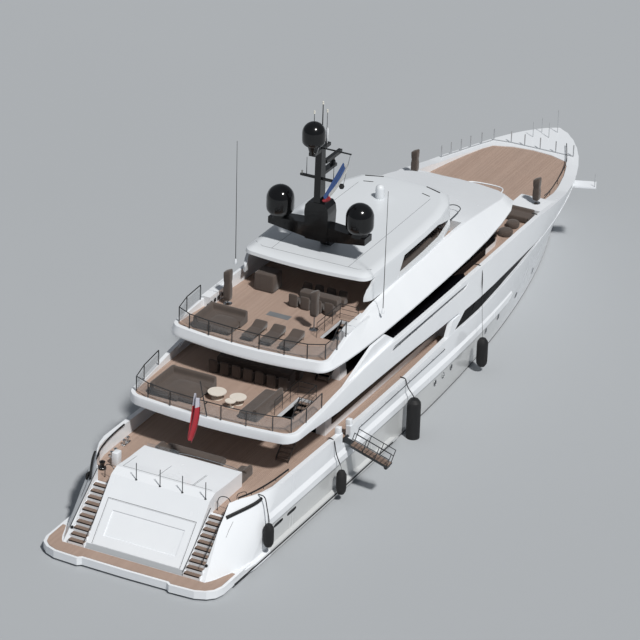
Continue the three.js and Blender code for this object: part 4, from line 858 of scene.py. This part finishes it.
for name, x in (("port", -0.27), ("mid", 0.95), ("stbd", 2.2)):
    pad = [(14.5, 0.24), (16.45, 0.24), (16.45, 0.62), (16.3, 0.64), (15.75, 0.42), (14.5, 0.38)]
    profile = rounded_profile(np.array(pad) + [0, SUN_DECK], 0.07)
    soft(f"lounger_{name}_pad", f"lounger_{name}", draped(profile, x - 0.37, x + 0.37, "x", 12, 0.1, 0.01))
    left, right = x - 0.33, x + 0.33
    corners = [(left, 14.55), (right, 14.55), (right, 16.55), (left, 16.55), (left, 14.55)]
    path = np.array([(a, b, SUN_DECK + 0.2 + 0.03 * (b - 14.5)) for a, b in corners])
    legs = [upright(a, b, SUN_DECK + 0.003, SUN_DECK + 0.22)
            for a in (x - 0.3, x + 0.3) for b in (14.7, 16.4)]
    piece(f"lounger_{name}_frame", STEEL, tube(smooth_path(path, 4), 0.022, 6), *legs)


def furled(x, y, floor, foot, top, half=0.23):
    """A furled umbrella in its cover: rounded square rings, drawn in at the tie, under a slanting head."""
    rows = np.array([
        # share of the height, share of the half width
        (0.0, 0.72), (0.03, 0.9), (0.15, 1.0), (0.4, 0.98), (0.52, 0.88), (0.58, 0.86), (0.66, 0.95),
        (0.85, 1.0), (0.97, 0.97), (1.0, 0.8),
    ])
    angle = full_turn(32)
    across, along = squared(np.cos(angle), 0.45), squared(np.sin(angle), 0.45)
    folds = 1 + 0.035 * np.cos(12 * angle)
    reach = rows[:, 1:] * half * folds
    share, pole_shows, slant = rows[:, :1], 0.18, 0.16
    height = foot + pole_shows + share * (top - foot - pole_shows) - slant * share ** 3 * (1 - across) / 2
    points = np.stack([x + reach * across, y + reach * along, floor + height], -1)
    return grid(points, closed=True)


def stand(x, y, floor, foot):
    """An umbrella's weighted foot and pole."""
    rows = [(0.0, 0.004), (0.28, 0.004), (0.28, 0.05), (0.22, 0.08), (0.07, 0.1), (0.05, 0.14), (0.035, 0.16),
            (0.035, foot + 0.4), (0.0, foot + 0.4)]
    return turned(rows, (x, y, floor), 24)


UMBRELLAS = [
    # name, x, y, floor, height of the cover's foot, top
    ("umbrella_sun_port", -3.66, 18.4, SUN_DECK, 0.1, 2.3),
    ("umbrella_sun_stbd", 2.4, 17.9, SUN_DECK, 0.75, 2.6),
    ("umbrella_bow_port", -4.4, 45.5, 6.46, 0.08, 1.85),
    ("umbrella_bow_stbd", 4.4, 45.5, 6.46, 0.08, 1.85),
]
for name, x, y, floor, foot, top in UMBRELLAS:
    soft(f"{name}_cover", name, furled(x, y, floor, foot, top), fill=0.3)
    piece(f"{name}_stand", BRIGHT, stand(x, y, floor, foot))


def covered_chair(x, y, floor, turn):
    """A chair under its cover; turn is 1 with the back aft and -1 with the back forward."""
    corners = [(y - 0.28, floor + 0.02), (y + 0.28, floor + 0.02), (y + 0.27, floor + 0.5),
               (y - 0.08, floor + 0.56), (y - 0.16, floor + 0.86), (y - 0.27, floor + 0.86)]
    if turn < 0:
        corners = [(2 * y - a, b) for a, b in corners][::-1]
    return draped(rounded_profile(corners, 0.09), x - 0.27, x + 0.27, "x", 10, 0.2, 0.03)


CHAIRS = [
    # name, floor, first x, spacing, count, y of the aft row, y of the fore row
    ("upper_chairs", UPPER_DECK, -2.5, 0.78, 7, 14.75, 16.35),
    ("sun_chairs", SUN_DECK, -0.1, 0.8, 4, 20.2, 21.7),
]
for name, floor, first, spacing, count, aft, fore in CHAIRS:
    places = [(first + spacing * i, y, turn) for y, turn in ((aft, 1), (fore, -1)) for i in range(count)]
    soft(name, None, *[covered_chair(x, y, floor, turn) for x, y, turn in places])


def covered_table(x0, x1, y0, y1, floor, height):
    """A table under its cover: a straight drop with rounded edges and shallow folds."""
    low, top = floor + 0.02, floor + height
    corners = [(y0 - 0.02, low), (y1 + 0.02, low), (y1, top), (y0, top)]
    return draped(rounded_profile(corners, 0.07), x0, x1, "x", 20, 0.12, 0.012)


soft("dining_covers", None, covered_table(-2.6, 2.3, 15.2, 15.9, UPPER_DECK, 0.78),
     covered_table(0.0, 2.5, 20.62, 21.25, SUN_DECK, 0.8))
soft("bar_cover", None, covered_table(-3.25, -1.95, 20.95, 22.1, SUN_DECK, 1.15))
HATCH = [(-1.0, 18.25), (0.47, 18.25), (0.47, 18.8), (-1.0, 18.8)]
piece("sun_deck_hatch", SEAM, plate(HATCH, SUN_DECK + 0.001, SUN_DECK + 0.012))
# Painted shade: thin dark plates stand for the shade inside recesses in the locker fronts.
recesses = [block(-4.27, -4.24, 16.9 + 0.46 * i, 17.12 + 0.46 * i, 8.72, 8.98, 0.01, 2) for i in range(6)]
piece("locker_fronts", DARK_TRIM_AND_SHADE, *recesses)


def pouf(x, y, floor, radius, height):
    """A round pouf: a soft-edged drum with a crowned top and a pulled-in foot."""
    rows = [(0.0, 0.01), (radius * 0.86, 0.01), (radius * 0.95, height * 0.2), (radius, height * 0.5),
            (radius * 0.95, height * 0.82), (radius * 0.8, height * 0.96), (radius * 0.4, height),
            (0.0, height)]
    return turned(rows, (x, y, floor), 28)


poufs = [pouf(4.3, 41.03, UPPER_DECK, 0.48, 0.42), pouf(4.18, 42.4, UPPER_DECK, 0.44, 0.42)]
soft("side_deck_poufs", None, both(*poufs))
soft("hardtop_sofa", None, sofa_run(-3.4, 3.4, 31.6, 32.8, SUN_DECK, "plus_y", 0.45, 0.8),
     sofa_run(-3.5, -2.6, 27.0, 31.6, SUN_DECK, "minus_x", 0.45, 0.8),
     sofa_run(2.6, 3.5, 27.0, 31.6, SUN_DECK, "plus_x", 0.45, 0.8))
soft("hardtop_table_cover", None, covered_table(-1.2, 1.2, 28.4, 30.4, SUN_DECK, 0.76))


# Flags
def hanging_cloth(x, y, top, fall, spread, folds, depth, lean, count=(26, 30)):
    """A flag hanging from its hoist: its width is gathered into folds that open downwards."""
    u, v = np.meshgrid(np.linspace(0, 1, count[0]), np.linspace(0, 1, count[1]), indexing="ij")
    drop = v * fall
    opening = 0.4 + 0.6 * np.sin(math.pi * (0.08 + 0.86 * v)) ** 0.7
    wave, ripple = np.sin(u * folds * 2 * math.pi + 1.3 * v), 0.4 * np.sin(u * folds * 5.1 - 2 * v)
    swing = (wave + ripple) * depth * opening
    points = np.stack([
        x + spread * u * opening + lean[0] * drop,
        y + swing + lean[1] * drop,
        top - drop - 0.12 * u * fall * (1 - v * 0.5),
    ], -1)
    return grid(points)


def cloth_area(surface):
    """The area of four-cornered faces: half the length of the cross product of their diagonals."""
    points, faces = surface
    corner = points[np.array(faces)]
    first, second = corner[:, 2] - corner[:, 0], corner[:, 3] - corner[:, 1]
    return float(np.linalg.norm(np.cross(first, second), axis=1).sum() / 2) * SCALE ** 2


def flag(name, finish, surface, length):
    """A hung sheet, whose flat width is its area over its length in the model."""
    made = piece(name, finish, surface, angle=2.0)
    width = cloth_area(surface) / length


ensign = hanging_cloth(-0.1, 7.95, 8.15, 2.8, 0.55, 1.5, 0.14, (-0.07, -0.15))
flag("ensign", ENSIGN, ensign, 1.4)
COURTESY = [
    # name, finish, x, top, fall, spread
    ("blue", FLAG_BLUE, 1.62, 17.35, 2.5, 0.26),
    ("white", FLAG_WHITE, 1.84, 17.4, 2.3, 0.26),
    ("red", FLAG_RED, 0.55, 15.05, 0.5, 0.42),
]
for name, finish, x, top, fall, spread in COURTESY:
    stripe = hanging_cloth(x, 22.62, top, fall, spread, 1.0, 0.05, (-0.5, 0.0), (8, 24))
    flag(f"pennant_{name}", finish, stripe, fall * SCALE)

# Mast details
WHIPS = [
    # x, y, z of the foot and of the tip
    [(-5.4, 22.56, 9.4), (-5.42, 22.5, 17.2)],
    [(5.3, 21.15, 9.3), (5.32, 21.2, 16.9)],
    [(-0.85, 22.77, 15.98), (-0.85, 22.77, 17.1)],
    [(0.95, 22.77, 15.98), (0.95, 22.77, 17.0)],
    [(0.0, 21.9, 19.82), (0.0, 21.9, 20.4)],
    [(0.3, 23.0, 17.9), (0.3, 23.0, 20.15)],
    [(-3.1, 23.0, 12.7), (-3.1, 23.0, 14.6)],
    [(3.1, 23.0, 12.7), (3.1, 23.0, 14.4)],
]
piece("whip_antennas", BLACK, *[tube(path, [0.024, 0.014], 6) for path in WHIPS])
foot_rows = [(0.0, 0), (0.1, 0), (0.1, 0.1), (0.05, 0.3), (0.03, 0.34), (0.0, 0.34)]
feet = [turned(foot_rows, place, 14) for place in ((-5.4, 22.56, 9.08), (5.3, 21.15, 9.0))]
piece("antenna_feet", WHITE, *feet)
head_rows = [(0.0, 0), (0.05, 0), (0.05, 0.1), (0.08, 0.14), (0.08, 0.85), (0.04, 0.95), (0.0, 0.95)]
piece("head_antenna", WHITE, turned(head_rows, (0.02, 23.6, 17.93), 14))
LAMPS = [(0.0, 23.0, 20.6), (0.3, 23.0, 20.15), (0.0, 21.9, 20.4), (0.0, 23.66, 13.5), (-1.15, 22.77, 16.0),
         (1.15, 22.77, 16.0)]
lamp_rows = [(0.0, 0), (0.06, 0), (0.06, 0.03), (0.045, 0.04), (0.045, 0.12), (0.06, 0.13), (0.05, 0.17),
             (0.0, 0.18)]
piece("mast_lamps", LAMP, *[turned(lamp_rows, place, 14) for place in LAMPS])
piece("mast_bar", GUNMETAL, tube([(0.18, 23.0, 17.8), (1.96, 23.0, 17.8)], 0.05, 8),
      tube([(1.9, 23.0, 17.8), (1.62, 22.77, 15.9)], 0.012, 6))
ball_rows = [(0.0, 0), (0.12, 0.05), (0.17, 0.18), (0.12, 0.31), (0.0, 0.36)]
piece("mast_ball", DARK_TRIM_AND_SHADE, turned(ball_rows, (1.5, 22.77, 15.55), 18))
HORN = [
    # radius, way forward
    (0.02, 0), (0.03, 0.25), (0.05, 0.45), (0.11, 0.6),
]
radii, ahead = zip(*HORN)
horns = [tube([(x, 23.58 + y, 13.15) for y in ahead], radii, 14) for x in (-0.16, 0.16)]
piece("horns", BRIGHT, *horns)

# Roof and bow
SKYLIGHT_Z = 7.98
skylight = [(0.5, 43.0), (0.55, 43.35), (1.8, 43.55), (2.95, 43.5), (3.12, 42.7)]
roof_frame = smooth_path([(x, y, SKYLIGHT_Z) for x, y in skylight], 5)
piece("roof_skylight_frame", WHITE, tube(roof_frame, 0.045, 8))
roof_seam = both(tube([(2.58, 21.8, 11.1), (2.56, 27.2, 11.1), (2.5, 33.2, 11.1)], 0.012, 6))
aft_seam = tube([(-3.9, 22.3, 11.07), (-3.2, 21.82, 11.1), (3.2, 21.82, 11.1), (3.9, 22.3, 11.07)], 0.012, 6)
piece("hardtop_seams", SEAM, roof_seam, aft_seam)
# Painted shade: dark bars on the roof stand for the shade seen down through its slits.
front_slit = tube([(1.5, 34.75, 11.07), (2.6, 34.35, 11.07)], 0.06, 6)
small_slit = tube([(1.7, 33.7, 11.1), (2.3, 33.5, 11.1)], 0.03, 6)
piece("hardtop_slits", DARK_TRIM_AND_SHADE, both(front_slit, small_slit))
front_hoop = [(2.4, 35.75, 9.6), (2.75, 36.3, 9.6), (3.35, 36.1, 9.55), (3.45, 35.3, 9.55), (3.55, 33.9, 9.6)]
piece("side_front_hoops", GUNMETAL, both(tube(smooth_path(front_hoop, 8), 0.03)))

BOW_POSTS = [
    # x, y, height
    (-0.94, 56.88, 1.15), (-0.73, 57.89, 1.1), (0.04, 57.33, 1.15), (0.19, 58.45, 1.7),
]
bow_posts = [upright(x, y, FORE_DECK + 0.04, FORE_DECK + tall, 0.024, 8) for x, y, tall in BOW_POSTS]
piece("bow_posts", GREY, *bow_posts)
WELL_RAIL = [
    (1.7, 56.55, 5.98), (2.75, 54.25, 5.98), (3.2, 52.9, 5.98), (3.7, 50.6, 6.02), (4.15, 48.3, 6.2),
    (4.5, 46.6, 6.62),
]
well_feet = [upright(x, y, z - 0.3, z, 0.018) for x, y, z in WELL_RAIL[:-1]]
piece("foredeck_side_rail", GUNMETAL, tube(smooth_path(WELL_RAIL), 0.03), *well_feet)
wall_band = np.array([(4.465, y, UPPER_DECK + 0.01) for y in np.linspace(18.3, 37.6, 30)])
piece("side_deck_skirting", SIDE_GLASS_AND_SHADE, both(strip(wall_band, 0.41)))
# Painted shade: a near-black sheet just over the side deck's teak, where the narrow deck lies in shade.
SIDE_SHADE_SHEET = [(4.48, 19.4), (5.5, 20.6), (5.5, 32.6), (5.3, 33.4), (4.48, 34.4)]
piece("side_deck_shade_sheet", SIDE_GLASS_AND_SHADE, both(plate(SIDE_SHADE_SHEET, UPPER_DECK + 0.004, UPPER_DECK + 0.02)))


# Gangway and bow step, which ride on their joints
GANGWAY_HEAD, GANGWAY_DIP = np.array([5.74, 15.7, 3.22]), 0.3


def tipped(surface):
    """A surface drawn level along X, tipped down to lie on the gangway."""
    points, faces = surface
    level, fall = math.cos(GANGWAY_DIP), math.sin(GANGWAY_DIP)
    return points @ np.array([[level, 0, -fall], [0, 1, 0], [fall, 0, level]]) + GANGWAY_HEAD, faces


boards = [block(0.56 + 0.26 * i, 0.78 + 0.26 * i, -0.27, 0.27, 0.0, 0.025, 0.008, 2) for i in range(10)]
piece("gangway_boards", TREAD_TEAK, tipped(merge(*boards)), body="gangway")
wheel = tube([(3.02, -0.2, -0.2), (3.02, 0.2, -0.2)], 0.12, 18)
piece("gangway_wheel", RUBBER, tipped(wheel), body="gangway")
gate_posts = [block(5.5, 5.82, y, y + 0.32, z, z + 0.6) for y, z in ((14.85, 3.7), (16.24, 3.6))]
piece("gate_posts", WHITE, both(*gate_posts))

STEP_YAW, STEP_X, STEP_Y, STEP_TOP = 0.38, 3.66, 53.4, 4.7


def on_step(x, y, z):
    """A place on the bow step, whose own axes are turned about an upright line."""
    across, along = math.cos(STEP_YAW), math.sin(STEP_YAW)
    return (STEP_X + x * across - y * along, STEP_Y + x * along + y * across, STEP_TOP + z)


step_posts = [tube([on_step(1.45, y, 0.001), on_step(1.45, y, 0.6)], 0.022, 8) for y in (-0.4, 0.4)]
piece("bow_step_posts", GREY, *step_posts, body="bow_step")


# Stage
FLOOR_REACH = 400.0
SUN_WAY, SUN_POWER, SUN_SPREAD, SUN_TONE = (-0.50, 0.31, -0.81), 3.25, 5, (1.0, 0.985, 0.96)
SKY_TONE, SKY_POWER = (0.78, 0.85, 0.95), 0.2


def set_stage():
    """A plain pale floor at the waterline, a high soft sun from the starboard quarter and an even sky."""
    mesh = bpy.data.meshes.new("floor")
    corners = [(x * FLOOR_REACH, y * FLOOR_REACH, 0) for x, y in ((-1, -1), (1, -1), (1, 1), (-1, 1))]
    mesh.from_pydata(corners, [], [(0, 1, 2, 3)])
    floor = add("floor", mesh)
    finish = Finish("floor_paint", (0.42, 0.44, 0.46), 0.8)
    finish.cloud(finish.noise(0.05), 0.3, (0.38, 0.4, 0.42))
    mesh.materials.append(finish.material)
    sun = bpy.data.lights.new("sun", "SUN")
    sun.energy, sun.angle, sun.color = SUN_POWER, math.radians(SUN_SPREAD), SUN_TONE
    key = add("sun", sun)
    key.rotation_mode = "QUATERNION"
    key.rotation_quaternion = Vector(SUN_WAY).to_track_quat("-Z", "Y")
    world = bpy.data.worlds.new("sky")
    world.use_nodes = True
    sky = world.node_tree.nodes["Background"].inputs
    sky["Color"].default_value = (*SKY_TONE, 1.0)
    sky["Strength"].default_value = SKY_POWER
    bpy.context.scene.world = world
    bpy.context.scene.view_settings.view_transform = "Standard"


set_camera()
set_stage()
